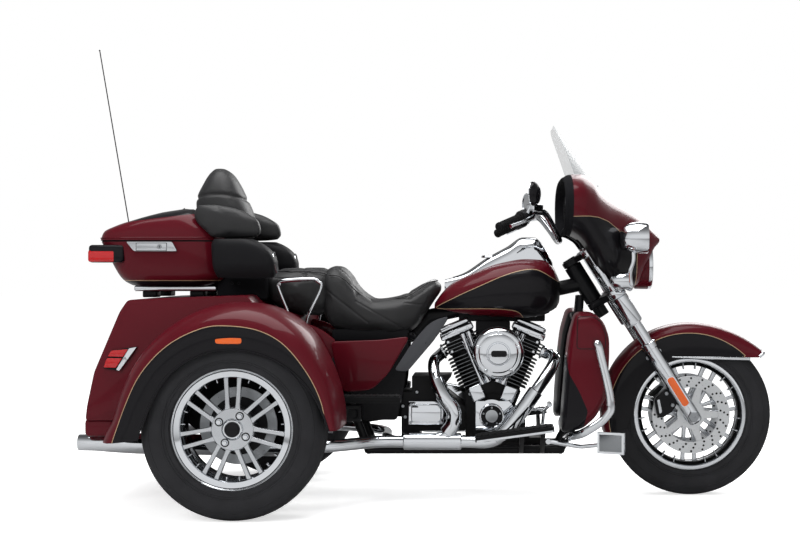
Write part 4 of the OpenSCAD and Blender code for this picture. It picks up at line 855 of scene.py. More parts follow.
@dataclass
class Wheels:
    """The three wheels: tyres with tread, cast rims with paired spokes, discs."""

    bolts: Bolts
    spokes: int = 7
    front_at: Point = FRONT_AXLE
    rear_at: Point = (-636, 572, 322)
    front_turn: float = 0.25
    rear_turn: float = 0.75
    disc_y: float = 74.3

    @staticmethod
    def tyre(radius: float, width: float, rim: float, bead: float, grooves: Sequence[float],
             ribs: Sequence[float] = (0.24, 0.31, 0.7)) -> Shape:
        """Return a tyre section turned about Y, with grooves sunk in its tread and fine ribs on its walls.

        Args:
            radius: outer radius.
            width: full width.
            rim: radius of the rim edge.
            bead: width between the beads.
            grooves: places of the grooves as shares of the half width.
            ribs: places of the ribs as shares of the wall's height.

        Returns:
            The tyre about the origin, its axis along Z.
        """
        shares = [(0.04, 0.0), (0.1, 0.72), (0.22, 0.93), (0.34, 0.985), (0.45, 1.0), (0.56, 0.998), (0.68, 0.98),
                  (0.78, 0.935), (0.86, 0.87), (0.925, 0.77), (0.97, 0.66), (0.99, 0.52), (1.0, 0.36)]
        wall = [(rim + (radius - rim) * up, bead / 2 + (width - bead) / 2 * out if up < 0.22 else width / 2 * out)
                for up, out in shares]
        crown = []
        for share in np.linspace(0.36, -0.36, 73):
            sunk = any(abs(share * width / 2 - g * width / 2) < 2.6 for g in grooves)
            crown.append((radius - (6.0 if sunk else 0.0), share * width / 2))
        half = wall[:-1]
        profile = half + crown + [(r, -y) for r, y in reversed(half)]
        inner = [(rim + 6, -bead / 2 + 6), (rim + 6, bead / 2 - 6)]
        parts = [lathe([*profile, *inner, profile[0]], 128)]
        radii, ys = np.array(wall[1:], float).T
        for up in ribs:
            at = rim + (radius - rim) * up
            y = np.interp(at, radii, ys)
            for side in (-1, 1):
                parts.append(lathe([(at - 2.4, side * (y - 1)), (at - 1, side * (y + 1.6)),
                                    (at + 1, side * (y + 1.6)), (at + 2.4, side * (y - 1))], 128))
        return joined(parts)

    def sipes(self, radius: float, width: float, count: int) -> Shape:
        """Return slanted tread cuts as thin dark bars lying in the tread's shoulders."""
        bar = block((-16, -1.3, -3), (16, 1.3, 0.35), 0.0)
        places = []
        for k in range(count):
            angle = 2 * pi * k / count
            for side in (-1, 1):
                lift = angle + (pi / count if side > 0 else 0)
                normal = Vector((cos(lift), sin(lift), 0.32 * side)).normalized()
                spot = Vector((cos(lift), sin(lift), 0)) * (radius - 4.2) + Vector((0, 0, side * width * 0.29))
                lean = Vector((-sin(lift), cos(lift), 0)) * 0.55 + Vector((0, 0, side))
                x_axis = (lean - normal * lean.dot(normal)).normalized()
                basis = Matrix((x_axis, normal.cross(x_axis), normal)).transposed()
                places.append((tuple(spot), basis.to_quaternion()))
        return self.bolts.run(bar, places, DARK)

    @staticmethod
    def barrel(rim: float, bead: float, drop: float, wall: float) -> Shape:
        """Return the rim's barrel with rolled lips, its axis along Z."""
        half = bead / 2
        outer = [(rim, -half), (rim + 5, -half - 4), (rim + 11, -half - 3), (rim + 12, -half + 2),
                 (rim + 4, -half + 7), (rim - drop * 0.4, -half + 16), (rim - drop, -half + 30)]
        inner = [(rim - drop - wall, half - 30), (rim - drop * 0.4 - wall, half - 14), (rim - wall, half - 4),
                 (rim - 4, half)]
        profile = outer + [(r, -y) for r, y in reversed(outer)][1:] + [(r, y) for r, y in reversed(inner)]
        profile += [(r, -y) for r, y in inner] + [outer[0]]
        return lathe(profile, 128)

    def spoke_star(self, hub: float, reach: float, thick: float, offset: float) -> Shape:
        """Return paired spokes with rounded backs, running from the hub to the barrel.

        Args:
            hub: radius where they start.
            reach: radius where they end.
            thick: depth along the axle.
            offset: turn of the first pair as a share of a step.

        Returns:
            The spokes about the origin, in the plane of x and y.
        """
        pair = []
        for side in (-1, 1):
            rings = []
            for t in np.linspace(0, 1, 12):
                swell = 1 + 0.55 * (max(0.0, 0.2 - t) / 0.2) ** 2 + 0.55 * (max(0.0, t - 0.86) / 0.14) ** 2
                flat = oval(8.2 * swell, thick / 2 * (1 - 0.12 * t), 5.0, 24)
                rings.append(np.array([[hub - 8 + (reach - hub + 14) * t, side * (17 + 7 * t) + w, h]
                                       for w, h in flat]))
            pair.append(outwards(lofted(rings)))
        turns = [(k + offset) * 360 / self.spokes for k in range(self.spokes)]
        return self.bolts.run(joined(pair), spun(turns), SATIN)

    def pocket_ribs(self, rim: float, half: float, offset: float) -> Shape:
        """Return the short bright ribs standing in the barrel between the spoke pairs."""
        rib = block((rim - 38, -2.4, half - 16), (rim - 13, 2.4, half + 10), 1.2, 1)
        turns = [(k + offset) * 360 / self.spokes + d for k in range(self.spokes) for d in (18.5, 33.0)]
        return self.bolts.run(rib, spun(turns), MACHINED)

    def disc(self, radius: float, band: float, thick: float, bore: float) -> list[tuple[Shape, Finish]]:
        """Return a drilled brake disc on a carrier of five arms, its axis along Z."""
        inner, hub = radius - band, bore + 24
        ring = lathe([(inner, 0), (radius, 0), (radius, thick), (inner, thick), (inner, 0)], 96)
        hole = lathe([(0, thick + 0.3), (4.2, thick + 0.3), (4.2, -0.3), (0, -0.3)], 14)
        spots = []
        for k, j in ((k, j) for k in range(20) for j in range(3)):
            a, r = 2 * pi * (k + 0.22 * j) / 20, radius - band * (0.2 + 0.3 * j)
            spots.append((r * cos(a), r * sin(a), 0.0))
        carrier = lathe([(bore, 0.4), (hub, 0.4), (hub, thick - 0.4), (bore, thick - 0.4), (bore, 0.4)], 48)
        edge = rounded([(bore + 10, -17), (inner + 6, -11), (inner + 6, 11), (bore + 10, 17)], 4)
        arm = plate(edge, -thick + 0.6, -0.6, 0.6, 1).turned("X", 90)
        return [(ring, DISC), (self.bolts.run(hole, unturned(spots), DARK), DARK), (carrier, DISC),
                (self.bolts.run(arm, spun(72 * k for k in range(5)), DISC), DISC)]

    def front(self) -> None:
        """Build the front wheel's tyre, rim and discs."""
        at, right, turn = self.front_at, (0, -1, 0), self.front_turn
        tyre = Piece("front_tyre_tread", "tyre", Body.FRONT_WHEEL)
        tyre.stand(at, right, (self.tyre(316, 130, 212, 86, (-0.2, 0.2)), TYRE), (self.sipes(316, 130, 40), DARK))
        tyre.build("front_tyre")
        lip = lathe([(223, 41), (222, 45), (218, 47), (204, 46), (201, 43), (201, 34)], 128)
        hub = [(12.6, -74), (40, -74), (42, -70), (42, -36), (33, -24), (33, 24), (42, 36), (42, 70), (40, 74),
               (12.6, 74)]
        rim = Piece("front_rim_cast", "aluminium", Body.FRONT_WHEEL)
        rim.stand(at, right, (self.barrel(212, 86, 16, 8), SATIN), (lathe([(188.2, -40), (188.2, 40)], 96), PLASTIC),
                  (lip, CHROME)).stand(at, (0, 1, 0), (lip, CHROME))
        rim.stand(at, right, (self.pocket_ribs(212, 24, turn), MACHINED),
                  (self.spoke_star(42, 190, 24, turn), MACHINED), (lathe(hub, 64), MACHINED)).build("front_rim")
        discs = Piece("front_brake_discs", "disc_steel", Body.FRONT_WHEEL)
        for part in self.disc(150, 44, 5, 30):
            for side in (-1, 1):
                discs.stand((at[0], side * self.disc_y, at[2]), (0, side, 0), part)
        discs.build("front_discs")

    def rear(self, side: int) -> None:
        """Build one rear wheel's tyre and rim with its disc, lug nuts and cap."""
        at, out = (self.rear_at[0], side * self.rear_at[1], self.rear_at[2]), (0, side, 0)
        word, body = ("right", Body.RIGHT_WHEEL) if side < 0 else ("left", Body.LEFT_WHEEL)
        turn = self.rear_turn if side < 0 else 1 - self.rear_turn
        tyre = Piece(f"rear_tyre_{word}_tread", "tyre", body)
        tyre.stand(at, out, (self.tyre(322, 204, 206, 158, (-0.27, -0.09, 0.09, 0.27)), TYRE),
                   (self.sipes(322, 204, 44), DARK)).build(f"rear_tyre_{word}")
        lip = [(206, 79.5), (203, 81), (184, 77), (181, 73), (182, 60)]
        hub = [(28.4, -64), (70, -64), (72, -60), (76, 40), (76, 66), (72, 70), (38, 70), (36, 66), (28.4, 66)]
        disc = [(104, -64), (138, -64), (138, -56), (104, -56), (104, -64)]
        hat = [(60, -63), (105, -63), (105, -57), (60, -57), (60, -63)]
        cap = [(27, 66), (27, 80), (24, 85), (12, 87), (0, 88)]
        collar = [(27.4, 66), (35, 66), (35, 71), (32, 74), (27.4, 74), (27.4, 66)]
        rim = Piece(f"rear_rim_{word}_cast", "aluminium", body)
        rim.stand(at, out, (self.barrel(206, 158, 16, 8), MACHINED), (lathe(lip, 128), CHROME),
                  (lathe([(182.2, -76), (182.2, 60)], 96), PLASTIC), (self.pocket_ribs(206, 50, turn), MACHINED),
                  (self.spoke_star(72, 184, 24, turn).moved((0, 0, 57)), MACHINED), (lathe(hub, 72), MACHINED),
                  (lathe(disc, 96), FINNED), (lathe(hat, 64), FRAME), (lathe(cap, 48), LACQUER),
                  (lathe(collar, 48), CHROME))
        centre = (at[0], at[1] + side * 70.3, at[2])
        for head, finish in ((lathe([(15, 0), (15, 0.5), (0, 0.5)], 24), DARK),
                             (self.bolts.hex_head(9.5, 14), CHROME)):
            self.bolts.ring(rim, head, centre, 53, 4, side, finish, 61)
        rim.build(f"rear_rim_{word}")

    def build(self) -> None:
        """Build all three wheels."""
        self.front()
        self.rear(-1)
        self.rear(1)


RAKE_DEG = 32
RAKE = radians(RAKE_DEG)


def fork_point(p: Point) -> np.ndarray:
    """Return a point given in the fork's own frame: forward, left and up the legs from the axle."""
    return np.array([p[0] * cos(RAKE) - p[2] * sin(RAKE), p[1], p[0] * sin(RAKE) + p[2] * cos(RAKE)]) + FRONT_AXLE


UP_FORK = tuple(fork_point((0, 0, 1)) - fork_point((0, 0, 0)))


@dataclass
class FrontEnd:
    """Fork, calipers and front fender."""

    bolts: Bolts
    leg_y: float = 118.0
    leg_turns: Sequence[tuple[Rows, int]] = (
        (((0, -30), (20, -30), (27, -24), (28, -10), (28, 300), (31, 304), (31, 326), (28, 330), (24, 331), (24, 416),
          (0, 416)), 40), (((0, 418), (30, 418), (34, 424), (34, 534), (30, 538), (0, 538)), 40),
        (((0, 538), (24, 538), (24, 758), (0, 758)), 32), (((0, 756), (20, 756), (20, 764), (14, 768), (0, 768)), 24))
    clamp_half: Rows = ((-112, 30), (-96, 40), (-62, 52), (-22, 112), (26, 112))
    caliper: Rows = ((-116, 64), (-92, 132), (-34, 142), (-22, 128), (-24, 70), (-60, 54), (-100, 54))
    caliper_strip: Rows = ((-104, 74), (-84, 124), (-74, 122), (-92, 74))
    fender_half: float = 88.0
    fender_rows: Rows = ((192, 342, 252), (180, 345, 230), (160, 348, 223), (140, 350, 222), (120, 352, 222),
                         (100, 353, 223), (85, 353, 225), (70, 355, 238), (55, 362, 272), (46, 368, 308),
                         (40.5, 372, 342))
    fender_section: Rows = ((1, 1), (1, 0.42), (0.95, 0.24), (0.8, 0.1), (0.52, 0.02), (0, 0))

    def fork(self) -> None:
        """Build sliders, stanchions, covers, clamps, axle nuts and reflectors."""
        fork = Piece("fork_legs", "chrome", Body.STEERING)
        nut = lathe([(0, 0), (23, 0), (23, 7), (19, 10), (9, 10), (8, 3), (0, 3)], 6)
        lens = bevelled(plate(oblong(-14, -62, 14, 62, 13), -4, 5), 2.5, 3)
        rim = plate(oblong(-18, -66, 18, 66, 16), -5, 2, 1.5)
        feet = [fork_point((0, side * self.leg_y, 0)) for side in (-1, 1)]
        for side, foot in zip((-1, 1), feet):
            for profile, sides in self.leg_turns:
                fork.stand(foot, UP_FORK, (lathe(profile, sides), CHROME))
            fork.stand(foot + (0, side * 26, 0), (0, side, 0), (nut, STEEL))
            spot = fork_point((0, side * (self.leg_y + 27), 112))
            for shape, finish in ((lens, AMBER), (rim, CHROME)):
                fork.add((shape if side > 0 else shape.mirrored()).turned("Y", -RAKE_DEG).moved(spot), finish)
        half = np.array(self.clamp_half, float)
        edge = rounded([*half, *(half[::-1] * (1, -1))], 8)
        for low, high in ((538, 570), (730, 758)):
            collar = lathe([(0, low), (34, low), (36, low + 3), (36, high - 3), (34, high), (0, high)], 32)
            fork.add(joined([along(collar, foot, UP_FORK) for foot in feet]), CHROME)
            bridge = lofted([np.column_stack([edge, np.full(len(edge), z)]) for z in (low + 3, high - 3)])
            fork.add(bevelled(outwards(bridge), 3).turned("Y", -RAKE_DEG).moved(FRONT_AXLE), FRAME)
        stem = lathe([(0, 500), (26, 500), (26, 760), (0, 760)], 32)
        fork.stand(fork_point((-80, 0, 0)), UP_FORK, (stem, FRAME))
        axle = lathe([(0, -150), (12, -150), (12, 150), (0, 150)], 24)
        fork.stand(FRONT_AXLE, (0, 1, 0), (axle, STEEL)).build("fork")

    def calipers(self) -> None:
        """Build the four-piston calipers behind the legs."""
        calipers = Piece("front_brake_calipers", "frame_black", Body.STEERING)
        raked = lambda edge, r: [fork_point((x, 0, z))[[0, 2]] for x, z in rounded(edge, r)]
        body, strip = raked(self.caliper, 12), raked(self.caliper_strip, 4)
        parts = ((plate(body, 88, 123, 5, 3), FRAME), (plate(body, 60, 73, 3, 2), FRAME),
                 (plate(strip, 120, 124, 1), MACHINED))
        for side in (-1, 1):
            for shape, finish in parts:
                calipers.add(shape if side > 0 else shape.mirrored(), finish)
            heads = [fork_point((x, side * 123, z)) for x, z in ((-40, 126), (-44, 76))]
            self.bolts.put(calipers, self.bolts.cap_head(7, 6), heads, (0, side, 0), STEEL)
        calipers.build("front_calipers")

    def fender(self) -> None:
        """Build the front fender with its painted panel, chrome spear and tip lamp."""
        rows = smooth_table([(-a, c, s) for a, c, s in self.fender_rows], 56)
        section = smooth_path([(y, f, 0) for y, f in self.fender_section], 4)[:, :2]
        section = np.vstack([section, section[::-1][1:] * np.array([-1, 1])])
        rings = []
        for angle, crown, skirt in rows:
            a = radians(-angle)
            radius = crown - section[:, 1] * (crown - skirt)
            rings.append(np.column_stack([radius * cos(a), section[:, 0] * self.fender_half, radius * sin(a)])
                         + FRONT_AXLE)
        skin = lofted(rings, caps=False, closed=False)
        shell = outwards(thickened(skin, 4, 0.0))
        fender = Piece("front_fender_shell", "paint_red", Body.STEERING).add(shell, CANDY)
        spear = [(965, self.fender_half + 1.5, 540), (1120, self.fender_half + 1.5, 536),
                 (1266, self.fender_half, 533)]
        fender.add(tube(spear, (2.5, 6.0, 7.0), 14, 6).both(), CHROME)
        fender.add(tube(rings[-1][::3], 7, 14, 3), CHROME)
        tip = radians(43)
        lamp = block((-30, -21, -11), (30, 21, 11), 9, 4).turned("Y", 36)
        fender.add(lamp.moved((357 * cos(tip), 0, 357 * sin(tip))).moved(FRONT_AXLE), CHROME)
        for side in (-1, 1):
            heads = [fork_point((x, side * (self.fender_half + 1.5), 276)) for x in (-26, 26)]
            self.bolts.put(fender, self.bolts.hex_head(7, 7), heads, (0, side, 0), STEEL)
        fender.build("front_fender", panel=self.panel)

    def panel(self, points: np.ndarray) -> np.ndarray:
        """Return millimetres inside the fender's black side panel."""
        x, _, z = (points - FRONT_AXLE).T
        radius, angle = np.hypot(x, z), np.degrees(np.arctan2(z, x)) % 360
        edge = np.interp(angle, [44, 60, 80, 110, 150, 196], [312, 314, 318, 322, 322, 322])
        flank = np.where(np.abs(points[:, 1]) > 55, 1, -1)
        rear = (206 - angle) * pi / 180 * radius
        front = (angle - 47) * pi / 180 * radius
        return np.minimum(np.minimum(edge - radius, rear), np.minimum(front, flank * 30.0))


@dataclass
class Fairing:
    """Fork-mounted fairing with its screen, instrument panel and lamps."""

    bolts: Bolts
    half: float = 403.0
    rows: Rows = ((919, 0.07, 986, 1000, 2), (900, 0.15, 956, 1021, 2.2), (870, 0.26, 890, 1049, 2.4),
                  (830, 0.36, 818, 1080, 2.6), (780, 0.49, 808, 1110, 2.7), (730, 0.62, 828, 1140, 2.8),
                  (680, 0.77, 872, 1182, 2.8), (640, 0.88, 930, 1228, 2.7), (600, 0.97, 985, 1242, 2.6),
                  (560, 1.0, 1008, 1238, 2.6), (540, 0.99, 1012, 1226, 2.6))
    screen_rows: Rows = ((1190, 676, 592, 262), (1250, 640, 572, 248), (1310, 598, 551, 226), (1372, 552, 526, 190),
                         (1416, 518, 508, 140), (1431, 506, 503, 92))
    lamp_z: float = 893.0
    lamp_r: float = 92.0
    passing: Point = (747, 235, 997)
    signal: Point = (712, 258, 836)
    lip_x: float = 567.0
    dash_x: float = 577.0
    panel_top: Rows = ((540, 1075), (624, 1077), (662, 1074), (701, 1061), (740, 1034), (790, 985), (824, 945))
    panel_front: float = 826.0
    gauges: Rows = ((-66, 1150, 50), (66, 1150, 50), (-172, 1160, 30), (172, 1160, 30), (-172, 1090, 30),
                    (172, 1090, 30))
    board_steps: Rows = ((0.95, 588), (0.972, 559), (0.972, 545), (0.94, 541), (0.91, 577))

    def rings(self, inset: float = 0.0) -> list[np.ndarray]:
        """Return the fairing's rings from the nose to the open back, pulled in by a wall."""
        table = [(-x, self.half * s - inset, low + inset, high - inset, e) for x, s, low, high, e in self.rows]
        rings = stations_x(table, 44, 72)
        for ring in rings:
            ring[:, 0] *= -1
        return rings

    def shell(self) -> None:
        """Build the painted shell with its rolled rear rim."""
        skin = lofted(self.rings(), caps=False)
        nose = self.rings()[0]
        faces = [f for f in skin.faces if not self.in_cut(skin.points[list(f)].mean(0))]
        shape = Shape(skin.points, faces)
        shell = thickened(outwards(shape), 5, -1.0 if self.faces_out(shape) else 1.0)
        middles = [shell.points[list(f), 0].mean() for f in shell.faces]
        painted = [f for f, x in zip(shell.faces, middles) if x >= self.lip_x]
        lip = [f for f, x in zip(shell.faces, middles) if x < self.lip_x]
        fairing = Piece("fairing_shell", "paint_red", Body.STEERING).add(picked(shell, painted), CANDY)
        fairing.add(picked(shell, lip), SOFT)
        tip = lofted([nose * 0.4 + nose.mean(0) * 0.6 + np.array([1.5, 0, 0]), nose])
        fairing.add(tip, CANDY)
        rim = self.rings()[-1]
        loop = smooth_path(rim[::4] + np.array([3, 0, 0]), 4, closed=True)
        fairing.add(ring_tube(loop, 8.0, 12), SOFT)
        fairing.build("fairing_outer", panel=self.panel)

    def in_cut(self, middle: np.ndarray) -> bool:
        """Tell whether a face lies in the cut for the fork or in the headlamp's hole."""
        fork = 540 < middle[0] < 802 and abs(middle[1]) < 172 and middle[2] < 1018
        lamp = middle[0] > 780 and hypot(middle[1], middle[2] - self.lamp_z) < self.lamp_r
        return fork or lamp

    @staticmethod
    def faces_out(shape: Shape) -> bool:
        """Tell whether an open skin's faces look away from its middle."""
        centre = shape.points.mean(0)
        total = 0.0
        for f in shape.faces[::7]:
            a, b, c = shape.points[list(f[:3])]
            total += np.cross(b - a, c - a) @ (shape.points[list(f)].mean(0) - centre)
        return total > 0

    def panel(self, points: np.ndarray) -> np.ndarray:
        """Return millimetres inside the black flanks of the fairing."""
        edge = np.interp(points[:, 0], *np.array(self.panel_top).T)
        return np.minimum(np.minimum(edge - points[:, 2], self.panel_front - points[:, 0]), np.abs(points[:, 1]) - 40)

    def screen(self) -> None:
        """Build the bowed windshield with its edge trim and three screws."""
        rows = smooth_table(self.screen_rows, 22)
        across_y = np.linspace(-1, 1, 29)
        rings = [np.column_stack([mid + (sides - mid) * across_y ** 2, half * across_y, np.full(29, z)])
                 for z, mid, sides, half in rows]
        skin = lofted(rings, caps=False, closed=False)
        sheet = thickened(skin, 4.5, 1.0)
        sheet.points[:, 0] = np.minimum(sheet.points[:, 0], 676)
        screen = Piece("windshield_sheet", "glass", Body.STEERING).add(sheet, SCREEN)
        screen.build("windshield")
        low = rings[1] + np.array([6, 0, 0])
        trim = tube(low[2:-2:4], 6.5, 12, 5)
        band = Piece("windshield_trim", "black_plastic", Body.STEERING).add(trim, PLASTIC)
        places = [tuple(low[i] + np.array([6, 0, 3])) for i in (7, 14, 21)]
        self.bolts.put(band, self.bolts.dome(7, 5), places, (1, 0, 0.3), CHROME)
        band.build()

    def inner(self) -> None:
        """Build the instrument panel with gauges, speakers and a radio face."""
        ring, x, back = self.rings()[-1], self.dash_x, (-1, 0, 0)
        mid = ring.mean(0)
        board = lofted([(ring - mid) * (1, k, k) + mid * (0, 1, 1) + (at, 0, 0) for k, at in self.board_steps])
        panel = Piece("instrument_panel", "black_plastic", Body.STEERING).add(board, SOFT)
        for y, z, r in self.gauges:
            bezel = lathe([(r + 5, 0), (r + 6, 5), (r + 3, 9), (r - 1, 8), (r - 2, 3), (r - 2, 0)], 40)
            mark = block((-0.8, 0.72 * r, 2.6), (0.8, 0.9 * r, 3.2), 0)
            marks = self.bolts.run(mark, spun(range(-130, 131, 20)), NEEDLE).turned("Z", 90)
            needle = block((-1, -0.12 * r, 3.4), (1, 0.7 * r, 4.2), 0).turned("Z", 130)
            panel.stand((x, y, z), back, (bezel, CHROME), (lathe([(r - 1, 2.5), (0, 2.5)], 40), FACE),
                        (marks, NEEDLE), (needle, RED_LENS))
        cone = lathe([(62, 0), (62, 4), (58, 8), (50, 5), (20, -2), (0, 2)], 48)
        bars = self.bolts.run(block((-1.2, -46, 6), (1.2, 46, 9), 0), spun(range(0, 180, 15)), PLASTIC)
        for y in (-282, 282):
            panel.stand((x, y, 1118), back, (cone, SOFT), (bars, PLASTIC))
        panel.add(block((x - 10, -92, 1036), (x + 2, 92, 1086), 3), GREY)
        panel.add(block((x - 12, -66, 1044), (x - 8, 66, 1078), 1.5), FACE)
        for y in (-118, 118):
            panel.add(tube([fork_point((0, y, 759)), fork_point((0, y, 800)), (553, y, 1036)], 10, 14, 4), FRAME)
        panel.build("fairing_inner")

    @staticmethod
    def bullet(length: float, r: float) -> Shape:
        """Return a bullet-shaped lamp body along Z, open to its lens in front."""
        shape = [(0, 0), (0.24, 0.005), (0.42, 0.03), (0.62, 0.09), (0.76, 0.17), (0.87, 0.28), (0.94, 0.42),
                 (0.985, 0.55), (1, 0.66), (1, 0.92), (0.96, 0.96), (0.92, 0.96), (0.9, 0.9)]
        return lathe([(r * a, length * b) for a, b in shape], 48)

    @staticmethod
    def lens(r: float, depth: float) -> Shape:
        """Return a shallow domed lens about Z."""
        return lathe([(r * cos(a), depth * sin(a)) for a in np.linspace(0, pi / 2, 7)], 48)

    def lamps(self) -> None:
        """Build the headlamp, the passing lamps, the turn signals and their bar."""
        lamps, ahead = Piece("front_lamp_set", "chrome", Body.STEERING), (1, 0, 0)
        hood = lathe([(0, 800), (60, 800), (91, 830), (92, 878)], 64)
        bowl = lathe([(91.8, 878), (92, 886), (90, 891), (86, 893), (82, 890), (80, 884), (52, 848), (0, 838)], 64)
        lamps.stand((0, 0, self.lamp_z), ahead, (hood, RED), (bowl, CHROME))
        lamps.stand((884, 0, self.lamp_z), ahead, (self.lens(81, 10), GLASS))
        x, _, z = fork_point((52, 0, 548))
        for s in (-1, 1):
            at, spot = (np.array(place) * (1, s, 1) for place in (self.passing, self.signal))
            lamps.stand(at, ahead, (self.bullet(112, 60), CHROME), (lathe([(54, 101), (30, 84), (0, 78)], 40), BULB))
            lamps.stand(at + (103, 0, 0), ahead, (self.lens(55, 6), GLASS))
            lamps.stand(spot, ahead, (self.bullet(70, 32), CHROME))
            lamps.stand(spot + (63, 0, 0), ahead, (self.lens(29, 6), AMBER))
            arm = [(x, s * 40, z), (x, s * 206, z), (at[0] + 40, s * 238, 866), (at[0] + 52, s * 236, 912),
                   (at[0] + 52, s * 235, 945)]
            lamps.add(tube(arm, 9, 16, 6), CHROME)
            lamps.add(tube([spot + (40, 0, 0), (x, s * 222, z + 4)], 8, 14, 3), CHROME)
        lamps.add(tube([(x, -60, z), (x, 60, z)], 9, 16, 2), CHROME)
        foot = block((-9, -24, -11), (9, 24, 11), 3).turned("Y", -RAKE_DEG)
        lamps.add(foot.moved(fork_point((46, 0, 553))), CHROME).build("front_lamps")

    def build(self) -> None:
        """Build shell, screen, panel and lamps."""
        self.shell()
        self.screen()
        self.inner()
        self.lamps()


@dataclass
class Cockpit:
    """Handlebar, grips, levers, switch housings and mirrors."""

    bolts: Bolts
    bar: Rows = ((530, 0, 992), (528, -70, 994), (466, -246, 1088), (404, -320, 1082), (297, -446, 1032))
    bar_r: float = 12.7
    grip_r: float = 18.0
    mirror_look: Point = (-0.93, 0.33, 0.0)
    mirror: Sequence[tuple[Rows, Finish]] = (
        (((0, -16), (24, -14), (40, -8), (48, 0), (50, 8), (47, 10), (45, 8)), LACQUER),
        (((46, 7), (49, 8), (49, 11), (46, 11), (46, 7)), CHROME), (((46, 8.5), (0, 8.5)), BULB))

    def build(self) -> None:
        """Build everything on the bar, both sides."""
        half = [self.bar[0], self.bar[1], (500, -160, 1042), self.bar[2], (438, -284, 1090), self.bar[3], self.bar[4]]
        bar = tube(half, self.bar_r, 20, 6)
        Piece("handlebar_tube", "chrome", Body.STEERING).add(bar.both(), CHROME).build("handlebar")
        tip, elbow = np.array(self.bar[4], float), np.array(self.bar[3], float)
        d = (tip - elbow) / np.linalg.norm(tip - elbow)
        grips = Piece("hand_grips", "rubber", Body.STEERING)
        length = 124
        profile = [(12, 0), (self.grip_r + 3, 0), (self.grip_r + 3, 6), (self.grip_r - 1.5, 9)]
        profile += [(self.grip_r - 1.5, length - 10), (self.grip_r + 0.5, length - 7), (self.grip_r, length),
                    (0, length)]
        core = along(lathe(profile, 40), tip - d * 118, d)
        rib = lathe([(self.grip_r - 2, -2.2), (self.grip_r, -1.2), (self.grip_r, 1.2), (self.grip_r - 2, 2.2)], 32)
        turn = facing(d)
        ribs = self.bolts.run(rib, [(tuple(tip - d * (102 - 8.5 * k)), turn) for k in range(11)], RUBBER)
        grips.add(joined([core, ribs]).both(), RUBBER)
        cap = along(lathe([(0, 0), (15, 0), (15, 2), (12, 5), (0, 6)], 32), tip + d * 5, d)
        grips.add(cap.both(), RUBBER).build("grips")
        self.controls(tip, d)

    def controls(self, tip: np.ndarray, d: np.ndarray) -> None:
        """Build perches, levers, reservoirs, switch housings and mirrors."""
        perch = tip - d * 140
        controls = Piece("hand_levers_and_mirrors", "chrome", Body.STEERING)
        housing = lathe([(0, -30), (22, -30), (26, -25), (26, 16), (22, 20), (0, 20)], 28)
        controls.stand(perch, d, (housing, PLASTIC), both=True)
        forward = np.cross(d, (0, 0, 1.0))
        forward *= np.sign(forward[0]) / np.linalg.norm(forward)
        start = perch + forward * 34 - d * 16
        lever = [start + forward * out + d * on for out, on in ((0, 0), (14, 26), (20, 84), (12, 150))]
        controls.add(tube(lever, (9, 7.5, 6.5, 8.0), 16, 5).both(), CHROME)
        tank = block((-30, -19, -13), (30, 19, 15), 5, 3).turned("Z", degrees(atan2(d[1], d[0])))
        controls.add(tank.moved(perch + forward * 30 - d * 30 + (0, 0, 22)).both(), CHROME)
        spots = [perch + d * k - forward * 23 + (0, 0, 8) for k in (-18, -4, 10)]
        button = block((-5, -5, -2), (5, 5, 2), 1.5)
        controls.add(self.bolts.run(button, [(p, facing(-forward)) for p in spots], GREY).both(), GREY)
        head = perch + (42, -66, 82)
        stem = [perch + forward * 20 + (0, 0, 14), perch + (34, -20, 56), head + (8, 14, -10)]
        controls.add(tube(stem, (7, 6, 5), 14, 5).both(), CHROME)
        for profile, finish in self.mirror:
            turned = along(lathe(profile, 40), (0, 0, 0), self.mirror_look)
            controls.add(turned.scaled((1, 1, 0.9), (0, 0, 0)).moved(head).both(), finish)
        controls.build("hand_controls")


def cut_by(shape: Shape, tool: Shape) -> Shape:
    """Return a closed shape with a closed tool taken out of it."""
    cutter = linked("cutter", to_mesh(outwards(tool), "cutter"))
    result = modified(outwards(shape), ("BOOLEAN", {"object": cutter, "operation": "DIFFERENCE", "solver": "EXACT"}))
    bpy.data.objects.remove(cutter)
    return result


